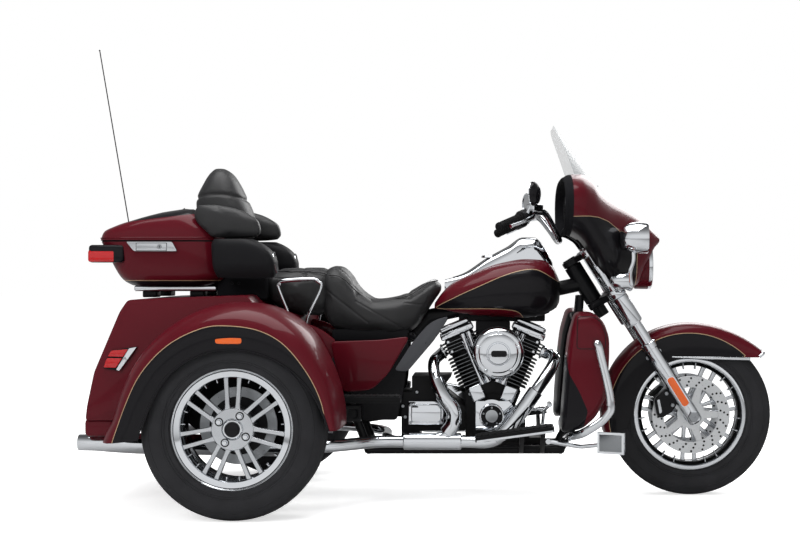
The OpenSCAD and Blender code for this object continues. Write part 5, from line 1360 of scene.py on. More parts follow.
@dataclass
class Tank:
    """Fuel tank with its painted panels, and the console along its top."""

    half: float = 165.0
    tunnel: Point = (82, 724)
    rows: Rows = ((46, 0.36, 722, 748, 2.2), (70, 0.55, 712, 782, 2.4), (110, 0.7, 704, 822, 2.6),
                  (200, 0.88, 694, 866, 2.7), (300, 0.98, 688, 904, 2.7), (400, 1.0, 684, 921, 2.7),
                  (460, 0.92, 688, 918, 2.6), (505, 0.72, 704, 893, 2.4), (532, 0.4, 748, 838, 2.2))
    console_rows: Rows = ((84, 20, 780, 838, 2.6), (150, 34, 780, 858, 2.8), (250, 44, 800, 922, 2.8),
                          (330, 52, 840, 966, 2.8), (390, 56, 850, 1002, 2.8), (434, 54, 850, 1002, 2.8),
                          (470, 46, 850, 972, 2.6), (506, 30, 850, 906, 2.4))
    panel_edge: Rows = ((48, 728), (124, 773), (215, 815), (306, 855), (373, 876), (421, 882), (458, 874), (526, 834),
                        (600, 790), (600, 650), (424, 660), (373, 709), (325, 721), (245, 725), (154, 724))

    def build(self) -> None:
        """Build the tank and its console."""
        rings = stations_x([(x, self.half * s, low, high, e) for x, s, low, high, e in self.rows], 46, 80)
        for ring in rings:
            under = (np.abs(ring[:, 1]) < self.tunnel[0]) & (ring[:, 2] < self.tunnel[1])
            ring[under, 2] = self.tunnel[1]
        tank = Piece("fuel_tank_shell", "paint_red").add(outwards(lofted(rings)), CANDY)
        edge = smooth_path([(x, z) for x, z in self.panel_edge], 4, closed=True)
        tank.build("fuel_tank", panel=lambda p: np.where(np.abs(p[:, 1]) > 40, inside_outline(p, edge), -20.0))
        rows = stations_x(self.console_rows, 40, 48)
        console = Piece("tank_console_cover", "chrome").add(outwards(lofted(rows)), CHROME)
        table = smooth_table(self.console_rows, 40)[3:-4]
        strip = lofted([np.array([[r[0], y, r[3] + lift - 0.06 * abs(y) ** 1.2]
                                  for y, lift in ((-15, -1.0), (-13, 1.6), (0, 1.9), (13, 1.6), (15, -1.0))])
                        for r in table], False, False)
        console.add(strip, PLASTIC)
        cap = lathe([(0, 0), (30, 0), (30, 6), (27, 9), (0, 11)], 40)
        console.add(cap.moved((258, 0, 924)), CHROME)
        console.build("tank_console")


@dataclass
class Upholstery:
    """Seats, backrest and arm pads, puffed by a cloth simulation and then sewn."""

    bolts: Bolts
    voxel_mm: float = 6.0
    pressure: float = 4.0
    frames: int = 20
    rider: Rows = ((-374, 140, 700, 872, 3), (-362, 166, 664, 892, 3.2), (-336, 178, 644, 899, 3.2),
                   (-312, 182, 642, 893, 3.2), (-286, 184, 640, 862, 3.4), (-240, 186, 640, 794, 3.4),
                   (-180, 184, 640, 762, 3.4), (-100, 176, 634, 772, 3.4), (-40, 152, 640, 798, 3.2),
                   (10, 122, 714, 830, 2.8), (44, 96, 766, 843, 2.6), (66, 66, 796, 830, 2.4))
    passenger: Rows = ((-592, 150, 754, 866, 2.8), (-568, 178, 738, 878, 3), (-502, 194, 716, 882, 3.2),
                       (-432, 194, 704, 884, 3.2), (-382, 174, 702, 884, 3.2), (-349, 140, 704, 878, 3))
    backrest: Rows = ((994, -136, -30, 112, 3.4), (1024, -156, -22, 128, 3.2), (1060, -212, -26, 138, 3),
                      (1112, -250, -38, 138, 2.8), (1140, -252, -50, 134, 2.7), (1220, -222, -86, 104, 2.4),
                      (1256, -200, -112, 70, 2.2), (1275, -184, -138, 34, 2))
    arms: Rows = ((998, -150, 30, 32, 3.2), (1020, -168, 44, 38, 3.2), (1056, -204, 36, 40, 3),
                  (1086, -214, -4, 38, 2.8), (1108, -206, -60, 32, 2.6), (1122, -198, -130, 22, 2.4))
    rider_seams: Rows = ((-374, 809, -203, 675), (-250, 758, -70, 652), (-65, 751, 8, 742))
    passenger_seams: Rows = ((-560, 846, -400, 838),)
    arm_y: float = 262.0

    def puffed(self, shape: Shape, cap_mm: float) -> Shape:
        """Swell a closed pad by cloth under pressure, with a limit on how far it moves.

        Args:
            shape: the pad a little smaller than it ends up.
            cap_mm: farthest that a point may move.

        Returns:
            The swollen pad, remeshed evenly.
        """
        even = modified(outwards(shape), ("REMESH", {"mode": "VOXEL", "voxel_size": self.voxel_mm * MM}))
        obj = linked("pad", to_mesh(even, "pad"))
        cloth = obj.modifiers.new("cloth", "CLOTH")
        cloth.settings.use_pressure = True
        cloth.settings.uniform_pressure_force = self.pressure
        cloth.settings.effector_weights.gravity = 0
        cloth.settings.quality = 4
        for frame in range(1, self.frames + 1):
            bpy.context.scene.frame_set(frame)
        step = settled(obj).points - even.points
        bpy.context.scene.frame_set(1)
        far = np.linalg.norm(step, axis=1)[:, None]
        return Shape(even.points + step * np.minimum(1.0, cap_mm / np.maximum(far, 1e-6)), even.faces)

    @staticmethod
    def sewn(shape: Shape, distance: Callable[[np.ndarray], np.ndarray], depth: float, width: float) -> Shape:
        """Sink a seam into a pad where a distance in millimetres is 0."""
        mesh = to_mesh(shape, "normals")
        normals = np.zeros(len(mesh.vertices) * 3)
        mesh.vertex_normals.foreach_get("vector", normals)
        bpy.data.meshes.remove(mesh)
        fall = depth * np.exp(-(distance(shape.points) / width) ** 2)
        return Shape(shape.points - normals.reshape(-1, 3) * fall[:, None], shape.faces)

    def stitches(self, path: np.ndarray, pitch: float = 7.0) -> Shape:
        """Return a row of stitches along a path."""
        length = np.concatenate([[0], np.cumsum(np.linalg.norm(np.diff(path, axis=0), axis=1))])
        at = np.arange(pitch / 2, length[-1], pitch)
        spots = np.column_stack([np.interp(at, length, path[:, k]) for k in range(3)])
        ahead = np.column_stack([np.interp(at + 1, length, path[:, k]) for k in range(3)]) - spots
        thread = lathe([(0, -2.2), (0.7, -1.6), (0.7, 1.6), (0, 2.2)], 6)
        return self.bolts.run(thread, [(tuple(p), facing(d)) for p, d in zip(spots, ahead)], THREAD)

    @staticmethod
    def seam_line(rings: Sequence[np.ndarray], angle: float, lift: float) -> np.ndarray:
        """Return the line along rings at an angle round them, lifted off the surface."""
        out = []
        for ring in rings:
            middle = ring.mean(0)
            rel = ring - middle
            best = ring[np.argmin(np.abs((np.degrees(np.arctan2(rel[:, 2], rel[:, 1])) - angle + 180) % 360 - 180))]
            out.append(best + (best - middle) / np.linalg.norm(best - middle) * lift)
        return np.array(out)

    @staticmethod
    def off_seam(points: np.ndarray, seam: Point) -> np.ndarray:
        """Return how far points on a seat's flanks lie from a seam, seen from the side."""
        start, run = np.array(seam[:2], float), np.array(seam[2:], float) - np.array(seam[:2], float)
        flat = points[:, [0, 2]] - start
        share = np.clip(flat @ run / (run @ run), 0, 1)[:, None]
        return np.linalg.norm(flat - share * run, axis=1) + np.where(np.abs(points[:, 1]) > 90, 0.0, 99.0)

    def seat(self, name: str, node: str, rows: Rows, creases: Sequence[float], rail: float,
             seams: Rows) -> None:
        """Build one seat with cross creases, a seam on each side, slanting flank seams, piping and stitches."""
        slim = [(x, half - 4, low + 3, high - 5, e) for x, half, low, high, e in rows]
        pad = self.puffed(lofted(stations_x(slim, 40, 72)), 7.0)
        top = smooth_table(rows, 60)
        height = lambda p: np.interp(p[:, 0], top[:, 0], top[:, 3])
        upper = lambda p: np.clip((height(p) - 22 - p[:, 2]) * 0.7, 0.0, 99.0)
        for crease in creases:
            pad = self.sewn(pad, lambda p: np.abs(p[:, 0] - crease - 0.0009 * p[:, 1] ** 2) + upper(p), 5.0, 9.0)
        for side in (-1, 1):
            pad = self.sewn(pad, lambda p: np.abs(p[:, 1] - side * rail) + upper(p), 4.0, 8.0)
        pad = subdivided(pad)
        for seam in seams:
            pad = self.sewn(pad, lambda p: self.off_seam(p, seam), 2.6, 3.4)
        rings = stations_x(rows, 40, 72)[2:-1]
        lines = [self.seam_line(rings, a, -1.0) for a in (28, 152)]
        seat = Piece(name, "leather").add(pad, LEATHER)
        for line in lines:
            seat.add(tube(line[::3], 2.2, 10, 4), PIPING)
        obj = seat.build(node, angle=80)
        thread = Piece(f"{name}_stitches", "leather")
        for angle in (36, 144):
            thread.add(self.stitches(self.seam_line(rings, angle, 0.4)), THREAD)
        thread.build()

    def upright(self, rows: Rows, y: float, creases: Sequence[float], keep_out: Shape) -> Shape:
        """Return one upright pad from rows across Z, sewn across and fitted against the lid.

        Args:
            rows: z, rear x, front x, half width and exponent of each level, from the rear axle's place.
            y: where its middle lies.
            creases: heights of the sewn lines.
            keep_out: the lid's outside as a closed shape.

        Returns:
            The finished pad.
        """
        slim = [(z, rear + 4, front - 4, half - 4, e) for z, rear, front, half, e in rows]
        slim[0], slim[-1] = (slim[0][0] + 3, *slim[0][1:]), (slim[-1][0] - 3, *slim[-1][1:])
        pad = self.puffed(lofted([ring + np.array([REAR_X, y, 0]) for ring in stations_z(slim, 32, 60)]), 6.0)
        for level in creases:
            pad = self.sewn(pad, lambda p: np.abs(p[:, 2] - level - 0.0012 * (p[:, 1] - y) ** 2), 7.0, 7.0)
        return cut_by(subdivided(pad), keep_out)

    def build(self, case: LuggageCase) -> None:
        """Build all the padded pieces, the backrest and its arms against the luggage case's lid."""
        self.seat("rider_seat_pad", "rider_seat", self.rider, (-268, -60), 104, self.rider_seams)
        self.seat("passenger_seat_pad", "passenger_seat", self.passenger, (-470,), 112, self.passenger_seams)
        lid = lofted(case.lid_rings())
        back = self.upright(self.backrest, 0.0, (1052, 1150), lid)
        arm = self.upright(self.arms, self.arm_y, (), lid)
        pads = Piece("backrest_and_arm_pads", "leather", Body.LID).add(back, LEATHER).add(arm.both(), LEATHER)
        pads.build("backrest", angle=60)


@dataclass
class LuggageCase:
    """Luggage case with its lid, latch, support, speaker pods and antenna."""

    bolts: Bolts
    half: float = 295.0
    base_rows: Rows = ((818, -470, -146, 0.86, 4), (832, -494, -112, 0.92, 4.4), (858, -514, -94, 0.96, 5),
                       (920, -548, -92, 0.985, 5), (982, -580, -98, 1, 5))
    lid_rows: Rows = ((988, -584, -106, 1, 5, 0, -118), (1022, -572, -128, 0.99, 5, 0.02, -142),
                      (1062, -520, -172, 0.94, 4.2, 0.09, -206), (1086, -444, -200, 0.8, 3.6, 0.14, -262),
                      (1097, -390, -216, 0.6, 3.2, 0.15, -268))
    pod_rows: Rows = ((848, -110, 96, 0.74, 4), (872, -124, 105, 0.9, 4), (902, -130, 105, 1, 4),
                      (928, -132, 97, 1, 4), (944, -133, 87, 0.99, 4), (966, -134, 63, 0.95, 4),
                      (982, -130, 36, 0.86, 3.8), (991, -124, 14, 0.76, 3.6))
    dent_half: float = 176.0
    dent_bow: float = 7.0
    tilt_x: float = -340.0
    wall: float = 5.0
    hinge: Point = (307, 985)
    eyes: Sequence[float] = (-430, -230)
    latch_edge: Rows = ((-1091, 982), (-920, 982), (-901, 946), (-1062, 946))
    paddle: Rows = ((-1052, 949), (-940, 949), (-940, 976), (-1052, 976))

    def base_rings(self, grow: float = 0.0) -> list[np.ndarray]:
        """Return the base's rings from its floor up, grown outwards."""
        rows = [(z, rear - grow, front + grow, self.half * s + grow, e) for z, rear, front, s, e in self.base_rows]
        return [ring + np.array([REAR_X, 0, 0]) for ring in stations_z(rows, 22, 96)]

    def lid_rings(self) -> list[np.ndarray]:
        """Return the lid's rings from its edge up, with the dent for the backrest."""
        rings = []
        for z, rear, front, share, e, tilt, dent in smooth_table(self.lid_rows, 20):
            flat = oval((front - rear) / 2, self.half * share, e, 112)
            ring = np.array([[(rear + front) / 2 + x, y, z] for x, y in flat])
            blend = np.clip((self.dent_half - np.abs(ring[:, 1])) / 26, 0, 1)
            bow = self.dent_bow * (1 - (ring[:, 1] / self.dent_half) ** 2)
            ring[:, 0] += (np.minimum(ring[:, 0], dent - bow) - ring[:, 0]) * blend
            ring[:, 2] += tilt * (ring[:, 0] - self.tilt_x)
            rings.append(ring + np.array([REAR_X, 0, 0]))
        return rings

    def base(self) -> None:
        """Build the open base with its dark lower strip, liner, gasket and hinge eyes."""
        rings = self.base_rings()
        floor = [rings[0] * k + rings[0].mean(0) * (1 - k) for k in (0.02, 0.5)]
        outside, liner = lined(outwards(lofted([*floor, *rings], caps=False)), self.wall)
        base = Piece("luggage_case_base", "paint_red").add(outside, CANDY).add(liner, PLASTIC)
        lip = rings[-1] + np.array([0, 0, 1.5])
        base.add(ring_tube((lip - lip.mean(0)) * 0.988 + lip.mean(0), 2.6, 8), RUBBER)
        eye = lathe([(0, 0), (8, 0), (8, 60), (0, 60)], 20)
        for x in self.eyes:
            base.stand((REAR_X + x - 30, *self.hinge), (1, 0, 0), (eye, CHROME))
            base.add(block((REAR_X + x - 28, 292, 962), (REAR_X + x + 28, 305, 979), 1.5), CHROME)
        base.build("case_base", panel=lambda p: 840 - p[:, 2])

    def lid(self) -> None:
        """Build the lid: red flanks, a black top, a dark liner, a bead round its edge and the hinge pins."""
        rings = self.lid_rings()
        top = rings[-1]
        roof = [(top - top.mean(0)) * k + top.mean(0) + np.array([0, 0, lift]) for k, lift in
                ((0.85, 1.6), (0.5, 3.0), (0.02, 3.6))]
        outside, liner = lined(outwards(lofted([*rings, *roof], caps=False)), self.wall)
        lid = Piece("luggage_case_lid", "paint_red", Body.LID).add(outside, SPLIT_PAINT).add(liner, PLASTIC)
        band = rings[1] + np.array([0, 0, 3])
        lid.add(ring_tube((band - band.mean(0)) * 1.001 + band.mean(0), 2.4, 8), RED)
        pin = lathe([(0, -10), (4, -10), (4, 70), (0, 70)], 14)
        for x in self.eyes:
            lid.stand((REAR_X + x - 30, *self.hinge), (1, 0, 0), (pin, STEEL))
            for at in (REAR_X + x - 35.5, REAR_X + x + 35.5):
                lid.add(block((at - 5, 293, 990), (at + 5, 309, 1000), 1.5), CHROME)
                lid.add(block((at - 5, 300, 981), (at + 5, 311, 1000), 1.5), CHROME)
        lid.build("case_lid", panel=lambda p: p[:, 2] - 1042 - (p[:, 0] + 1198) * 0.124)

    def latch(self) -> None:
        """Build the slanted latch plate with its paddle, the gap round it and the key cylinder."""
        latch = Piece("case_latch_plate", "chrome")
        latch.add(plate(rounded(self.latch_edge, 7), -306, -295, 2, 2), MACHINED)
        middle = np.mean(self.paddle, 0)
        gap = (np.array(self.paddle) - middle) * np.array([1.03, 1.12]) + middle
        latch.add(plate(rounded(gap, 3), -306.4, -305, 0), DARK)
        latch.add(plate(rounded(self.paddle, 3), -307.4, -304, 0.8, 2), MACHINED)
        key = lathe([(9, 0), (9, 1.6), (7, 2.2), (6.6, 1.2), (0, 1.2)], 28)
        latch.stand((-966, -307, 963), (0, -1, 0), (key, STEEL))
        latch.add(block((-967.2, -308.6, 959), (-964.8, -307, 967), 0), DARK)
        latch.build("case_latch")

    def fittings(self) -> None:
        """Build the support with its shroud, the speaker pods with their grilles, and the antenna."""
        support = Piece("case_support_rack", "chrome")
        support.add(block((REAR_X - 452, -196, 796), (REAR_X - 140, 196, 817.6), 6, 3), CHROME)
        for x, y in ((x, y) for x in (REAR_X - 400, REAR_X - 220) for y in (-130, 130)):
            support.add(block((x - 26, y - 40, 772), (x + 26, y + 40, 797), 4), FRAME)
        support.add(block((REAR_X - 136, -205, 762), (REAR_X + 54, 205, 852), 12, 3), SOFT).build("case_support")
        pods = Piece("speaker_pod_pair", "black_plastic")
        rows = [(z, rear, front, 74 * s, e) for z, rear, front, s, e in self.pod_rows]
        rings = [ring + np.array([REAR_X, 300, 0]) for ring in stations_z(rows, 22, 56)]
        pods.add(cut_by(lofted(rings), lofted(self.base_rings(0.3))).both(), PLASTIC)
        ring = lathe([(46, 0), (50, 0), (50, 4), (46, 4), (46, 0)], 40)
        slat = block((-44, -1.1, 0.5), (44, 1.1, 3), 0)
        slats = self.bolts.run(slat, unturned((0.0, y, 0.0) for y in np.arange(-24, 25, 8.0)), GREY)
        for shape, finish in ((ring, CHROME), (lathe([(46, 1), (0, 1)], 40), DARK), (slats, GREY)):
            shape = shape.scaled((0.8, 0.8, 1), (0, 0, 0))
            pods.stand((REAR_X + 97.5, 300, 904), (1, 0, 0.16), (shape, finish), both=True)
        jack = lathe([(7, 0), (7, 2.5), (5, 2.5), (4.4, 0.6), (0, 0.6)], 20)
        jacks = [((x, 204.5, 826.0), facing((0, 1, 0))) for x in (-716.0, -690.0)]
        pods.add(self.bolts.run(jack, jacks, PLASTIC).both(), PLASTIC)
        pods.build("speaker_pods")
        antenna = Piece("antenna_whip", "black_plastic")
        foot, tip = np.array([REAR_X - 566, 312, 880.0]), np.array([-1355.5, 312, 1788.0])
        antenna.add(tube([foot, foot * 0.5 + tip * 0.5, tip], (2.4, 2.3, 2.2), 10, 6), PLASTIC)
        antenna.add(tube([foot + (tip - foot) * k for k in (0, 0.03, 0.06, 0.09)], (9, 9, 7, 3.5), 16, 4), PLASTIC)
        antenna.add(tube([foot, (REAR_X - 522, 289, 880)], 8, 14, 2), CHROME)
        antenna.stand(tip - (0, 0, 4), (0, 0, 1), (self.bolts.dome(4, 4), PLASTIC)).build("antenna")

    def build(self) -> None:
        """Build case, lid and fittings."""
        self.base()
        self.lid()
        self.latch()
        self.fittings()


@dataclass
class RearBody:
    """Cargo body with its door, the wide rear fenders and their lamps."""

    bolts: Bolts
    half: float = 430.0
    wall: float = 5.0
    outline: Rows = ((172, 700), (52, 740), (12, 784), (-418, 768), (-447, 726), (-540, 506), (-566, 384),
                     (-572, 330), (-205, 330), (-165, 482), (172, 482))
    room: Rows = ((-166, 487), (-170, 482), (-208, 336), (-566, 336), (-560, 384), (-534, 505), (-442, 724),
                  (-414, 763), (10, 778), (48, 736), (166, 696), (166, 487))
    fender_rows: Rows = ((0, 374, 340), (15, 377, 320), (35, 391, 303), (55, 420, 290), (75, 431, 283),
                         (95, 428, 280), (115, 420, 281), (135, 415, 284), (155, 413, 285), (173, 420, 296),
                         (186, 463, 318))
    fender_section: Rows = ((0, -0.06), (0.3, -0.075), (0.55, -0.04), (0.74, 0.05), (0.88, 0.19), (0.96, 0.37),
                            (1, 0.6), (0.99, 1))
    fender_y: Point = (430.3, 697)
    wheelhouse: Rows = ((-206, 330), (-168, 484), (170, 484), (196, 400), (190, 262), (-120, 250))
    axle: Point = (-636, 322)
    stripe: Rows = ((-1047, 281), (-1008, 394), (-949, 518), (-854, 619), (-736, 678), (-641, 687), (-534, 670),
                    (-445, 619), (-368, 524), (-321, 429), (-300, 331))
    door_rows: Rows = ((372, 34, 0.98), (420, 40, 1), (506, 42, 1), (620, 40, 1), (726, 36, 0.98), (756, 20, 0.94))
    rear_line: Rows = ((330, -572), (384, -566), (506, -540), (726, -447), (768, -418))
    lamp_back: Rows = ((-504, 521), (-445, 511), (-379, 599), (-476, 586))
    lenses: Sequence[Rows] = (((-473, 585), (-412, 590), (-430, 562), (-485, 564)),
                              ((-488, 558), (-434, 557), (-456, 523), (-501, 524)))
    lamp_strip: Rows = ((-408, 593), (-381, 598), (-444, 512), (-455, 516))
    door_half: float = 300.0
    hinge: Point = (-598, 344)
    hinge_y: Point = (-190, 190)

    @staticmethod
    def from_axle(points: Rows) -> list[Point]:
        """Return an outline given from the rear axle's place along X in the frame of the solids."""
        return [(REAR_X + x, z) for x, z in points]

    def back_x(self, z: np.ndarray | float) -> np.ndarray | float:
        """Return where the body's back lies at a height."""
        return REAR_X + np.interp(z, *np.array(self.rear_line, float).T)

    def body(self) -> None:
        """Build the body shell with its hatch, seal, valance and hinge eyes."""
        outer = plate(rounded(self.from_axle(self.outline), 12, 3), -self.half, self.half, 5, 2)
        inner = plate(self.from_axle(self.room), -self.half + self.wall, self.half - self.wall)
        hatch = block((REAR_X - 700, -284, 392), (REAR_X - 300, 284, 742), 0)
        body = Piece("rear_body_shell", "paint_red").add(cut_by(cut_by(outer, inner), hatch), RED)
        body.add(block((REAR_X - 586, -299, 262), (REAR_X - 531, 299, 331), 8, 3), RED)
        body.add(block((REAR_X - 578, -420, 270), (REAR_X - 470, 420, 336), 16, 4), RED)
        seal = [(self.back_x(z) - 1.5, y, z) for y, z in oblong(-290, 386, 290, 748, 20)]
        body.add(ring_tube(np.array(seal), 2.4, 8), RUBBER)
        eye = lathe([(0, -30), (8, -30), (8, 30), (0, 30)], 20)
        for y in self.hinge_y:
            body.stand((REAR_X + self.hinge[0], y, self.hinge[1]), (0, 1, 0), (eye, FRAME))
            body.add(block((REAR_X - 605, y - 29, 303), (REAR_X - 581, y + 29, 342), 2), FRAME)
        body.build("rear_body")

    def door(self) -> None:
        """Build the bulged rear door with its handle, bare plate and hinge pins."""
        rings = []
        share = np.linspace(-1, 1, 41)
        for z, bulge, s in smooth_table(self.door_rows, 26):
            back, edge = self.back_x(z) - 6, self.door_half * s * 0.998
            out = np.column_stack([back - bulge * (1 - np.abs(share) ** 4.5) ** 0.5, share * self.door_half * s,
                                   np.full(41, z)])
            rings.append(np.vstack([out, [[back, edge, z], [back, -edge, z]]]))
        door = Piece("rear_door_panel", "paint_red", Body.DOOR).add(outwards(lofted(rings)), RED)
        grip = self.back_x(700) - 6
        door.add(block((grip - 44, -90, 690), (grip - 32, 90, 712), 5, 3), CHROME)
        blank = plate(oblong(-95, -45, 95, 45, 8), 0, 4, 1)
        door.add(blank.turned("Z", 90).turned("Y", 22.9).moved((self.back_x(565) - 49.5, 0, 565)), SATIN)
        pin = lathe([(0, -40), (4, -40), (4, 40), (0, 40)], 14)
        for y in self.hinge_y:
            door.stand((REAR_X + self.hinge[0], y, self.hinge[1]), (0, 1, 0), (pin, STEEL))
            for mid in (y - 35.5, y + 35.5):
                door.add(block((REAR_X - 603, mid - 5, 339), (REAR_X - 587, mid + 5, 382), 2), STEEL)
        door.build("rear_door")

    def fenders(self) -> None:
        """Build the fenders with black flanks inside a pinstripe, side markers and edge beads."""
        section = smooth_path([(o, f, 0) for o, f in self.fender_section], 5)[:, :2]
        rings = []
        for angle, crown, arch in smooth_table(self.fender_rows, 72):
            a = radians(angle)
            radius = crown - section[:, 1] * (crown - arch)
            y = self.fender_y[0] + section[:, 0] * (self.fender_y[1] - self.fender_y[0])
            rings.append(np.column_stack([self.axle[0] + radius * cos(a), y, self.axle[1] + radius * sin(a)]))
        outer = lofted(rings, caps=False, closed=False)
        face = outer.points[list(outer.faces[36 * (len(section) - 1) + 4])]
        normal = np.cross(face[1] - face[0], face[2] - face[0])
        if normal @ (face.mean(0) - np.array([self.axle[0], 560, self.axle[1]])) < 0:
            outer = Shape(outer.points, [tuple(reversed(f)) for f in outer.faces])
        outside, liner = lined(outer, self.wall)
        fender = Piece("rear_fender_shells", "paint_red").add(outside.both(), CANDY).add(liner.both(), PLASTIC)
        bead = np.array([ring[-1] for ring in rings])
        fender.add(tube(bead[::4], 4.0, 10, 4).both(), LACQUER)
        lens = plate(oblong(-687, 622, -594, 653, 12), 689, 697, 2.5, 3)
        fender.add(lens.both(), AMBER)
        fender.add(plate(rounded(self.from_axle(self.wheelhouse), 20), 422, 429, 1).both(), PLASTIC)
        edge = np.vstack([smooth_path(self.stripe, 6), [(-300, 240), (-1047, 240)]])
        fender.build("rear_fenders", panel=lambda p: np.where(np.abs(p[:, 1]) > 520, inside_outline(p, edge), -20.0))

    def lamps(self, case: LuggageCase) -> None:
        """Build the tail lamps on the body's sides and the lamps round the case's corners.

        Args:
            case: luggage case that the corner lamps fit against.
        """
        lamps = Piece("rear_lamp_set", "lamp_red")
        lamps.add(plate(rounded(self.from_axle(self.lamp_back), 5), 430.4, 440, 2).both(), PLASTIC)
        for lens in self.lenses:
            lamps.add(plate(rounded(self.from_axle(lens), 4), 438, 446, 3, 3).both(), RED_LENS)
        lamps.add(plate(rounded(self.from_axle(self.lamp_strip), 3), 438, 446.3, 2, 2).both(), CHROME)
        corner = lofted(case.base_rings(0.3))
        for low, high, edge, finish in (((-598, 191, 904), (-466, 296, 970), 12, LACQUER),
                                        ((-600, 194, 906), (-498, 297, 951), 9, RED_LENS)):
            box = block((REAR_X + low[0], *low[1:]), (REAR_X + high[0], *high[1:]), edge, 4)
            lamps.add(cut_by(box, corner).both(), finish)
        lamps.build("rear_lamps")

    def build(self, case: LuggageCase) -> None:
        """Build body, door, fenders and lamps."""
        self.body()
        self.door()
        self.fenders()
        self.lamps(case)


@dataclass
class Engine:
    """V-twin with finned cylinders, rocker boxes, covers, air cleaner and exhaust."""

    bolts: Bolts
    crank: Point = (272, 300)
    lean: float = radians(22.5)
    fin: Point = (150, 144)
    fin_t: float = 3.2
    barrel: Point = (140, 286)
    air_at: Point = (293, -142, 560)
    air_r: float = 101.0
    caddy: Rows = ((-330, 612), (-52, 612), (-66, 440), (-96, 300), (-300, 300))

    def spot(self, side: int, u: float, y: float, w: float) -> np.ndarray:
        """Return a point on a cylinder: outwards from its bore, left, and up the bore."""
        s, c = sin(self.lean), cos(self.lean)
        return np.array([self.crank[0] + side * (w * s + u * c), y, self.crank[1] + w * c - u * s])

    def on_cylinder(self, shape: Shape, side: int) -> Shape:
        """Return a shape built with u, y and the bore along its axes, set on a cylinder."""
        turned = shape if side > 0 else outwards(Shape(shape.points * np.array([-1, 1, 1]), shape.faces))
        return turned.turned("Y", side * degrees(self.lean)).moved((self.crank[0], 0, self.crank[1]))

    def fins(self, side: int) -> list[tuple[Shape, Finish]]:
        """Return a cylinder's fins with bright edges, cut where the two cylinders meet."""
        pitch = (self.barrel[1] - self.barrel[0] - 16) / 9
        levels = [self.barrel[0] + 16 + k * pitch for k in range(9)]
        levels += [self.barrel[1] + 10 + k * 13 for k in range(4)]
        out, full = [], []
        for w in levels:
            inner = min(self.fin[0] / 2, (w * sin(self.lean) - 1) / cos(self.lean))
            if inner >= self.fin[0] / 2:
                full.append(w)
                continue
            out += [(self.on_cylinder(s.moved((0, 0, w)), side), f) for s, f in self.fin_pair(inner)]
        places = unturned((0.0, 0.0, w) for w in full)
        for shape, finish in self.fin_pair(self.fin[0] / 2):
            out.append((self.on_cylinder(self.bolts.run(shape, places, finish), side), finish))
        return out

    def fin_pair(self, inner: float) -> list[tuple[Shape, Finish]]:
        """Return one fin's black web and its bright machined edge."""
        flat = [(-inner, -self.fin[1] / 2), (self.fin[0] / 2, -self.fin[1] / 2), (self.fin[0] / 2, self.fin[1] / 2),
                (-inner, self.fin[1] / 2)]
        web = plate(rounded(flat, 22, 4), -self.fin_t / 2, self.fin_t / 2, 0).turned("X", 90)
        edge = plate(rounded([(x * 1.004, y * 1.004) for x, y in flat], 22, 4), -0.7, 0.7, 0).turned("X", 90)
        return [(web, WRINKLE), (edge, FINNED)]

    def cylinder(self, side: int) -> None:
        """Build one barrel and head with its fins, plug and bolts."""
        word = "front" if side > 0 else "rear"
        unit = Piece(f"cylinder_{word}_finned", "engine_black")
        core = lathe([(0, 141), (56, 141), (56, 286), (0, 286)], 48)
        unit.add(self.on_cylinder(core, side), WRINKLE)
        unit.add(self.on_cylinder(block((-58, -60, 284), (60, 60, 349.5), 8, 3), side), WRINKLE)
        for shape, finish in self.fins(side):
            unit.add(shape, finish)
        plug = lathe([(0, 0), (9, 0), (9, 8), (6, 10), (6, 26), (0, 28)], 20)
        unit.stand(self.spot(side, -20, -60, 318), (0, -1, 0.25), (plug, NEEDLE))
        heads = [self.spot(side, u, -71.5, w) for u, w in ((46, 300), (46, 340), (-40, 340))]
        self.bolts.put(unit, self.bolts.cap_head(5.5, 5), heads, (0, -1, 0), CHROME)
        unit.build(f"cylinder_{word}")

    def rockers(self) -> None:
        """Build the two-piece rocker boxes with a gasket line and their bolts."""
        rocker = Piece("rocker_boxes", "chrome")
        for side in (-1, 1):
            low = block((-66, -64, 350.3), (68, 64, 376.5), 6, 3)
            top = block((-60, -58, 378), (62, 58, 402), 10, 4)
            seam = block((-64, -62, 376), (66, 62, 378.4), 0)
            for shape, finish in ((low, CHROME), (top, CHROME), (seam, PLASTIC)):
                rocker.add(self.on_cylinder(shape, side), finish)
            up = self.spot(side, 0, 0, 1) - self.spot(side, 0, 0, 0)
            corners = [self.spot(side, u, y, 376) for u in (-58, 60) for y in (-57, 57)]
            self.bolts.put(rocker, self.bolts.cap_head(5, 5), corners, up, CHROME)
            flank = [self.spot(side, u, -63.5, 363) for u in (-44, 0, 46)]
            self.bolts.put(rocker, self.bolts.cap_head(5, 4), flank, (0, -1, 0), CHROME)
        rocker.build("rocker_covers")

    def air_cleaner(self) -> None:
        """Build the round air cleaner with its backing ring, black inset and bolts."""
        (x, y, z), r = self.air_at, self.air_r
        back = [(0, 0), (r - 8, 0), (r, 4), (r, 20), (r - 3, 22), (0, 22)]
        shell = [(r - 5, 22), (r - 3, 26), (r - 3, 52), (r - 6, 62), (r - 13, 69), (r - 22, 72), (r - 26, 71),
                 (r - 30, 74), (r - 44, 77), (46, 78), (44, 76), (40, 76), (38, 79), (20, 81.4), (0, 82)]
        unit = Piece("air_cleaner_cover", "chrome")
        unit.stand(self.air_at, (0, -1, 0), (lathe(back, 72), WRINKLE), (lathe(shell, 96), CHROME))
        unit.add(plate(oblong(-30, -12, 30, 12, 12) + (x + 2, z), y - 83, y - 78, 1), LACQUER)
        self.bolts.ring(unit, self.bolts.cap_head(6, 4), (x, y - 71, z), r - 20, 5, -1, CHROME, 90)
        unit.add(tube([(x, y + 2, z), (x, -70, z - 4)], 30, 28, 2), WRINKLE).build("air_cleaner")

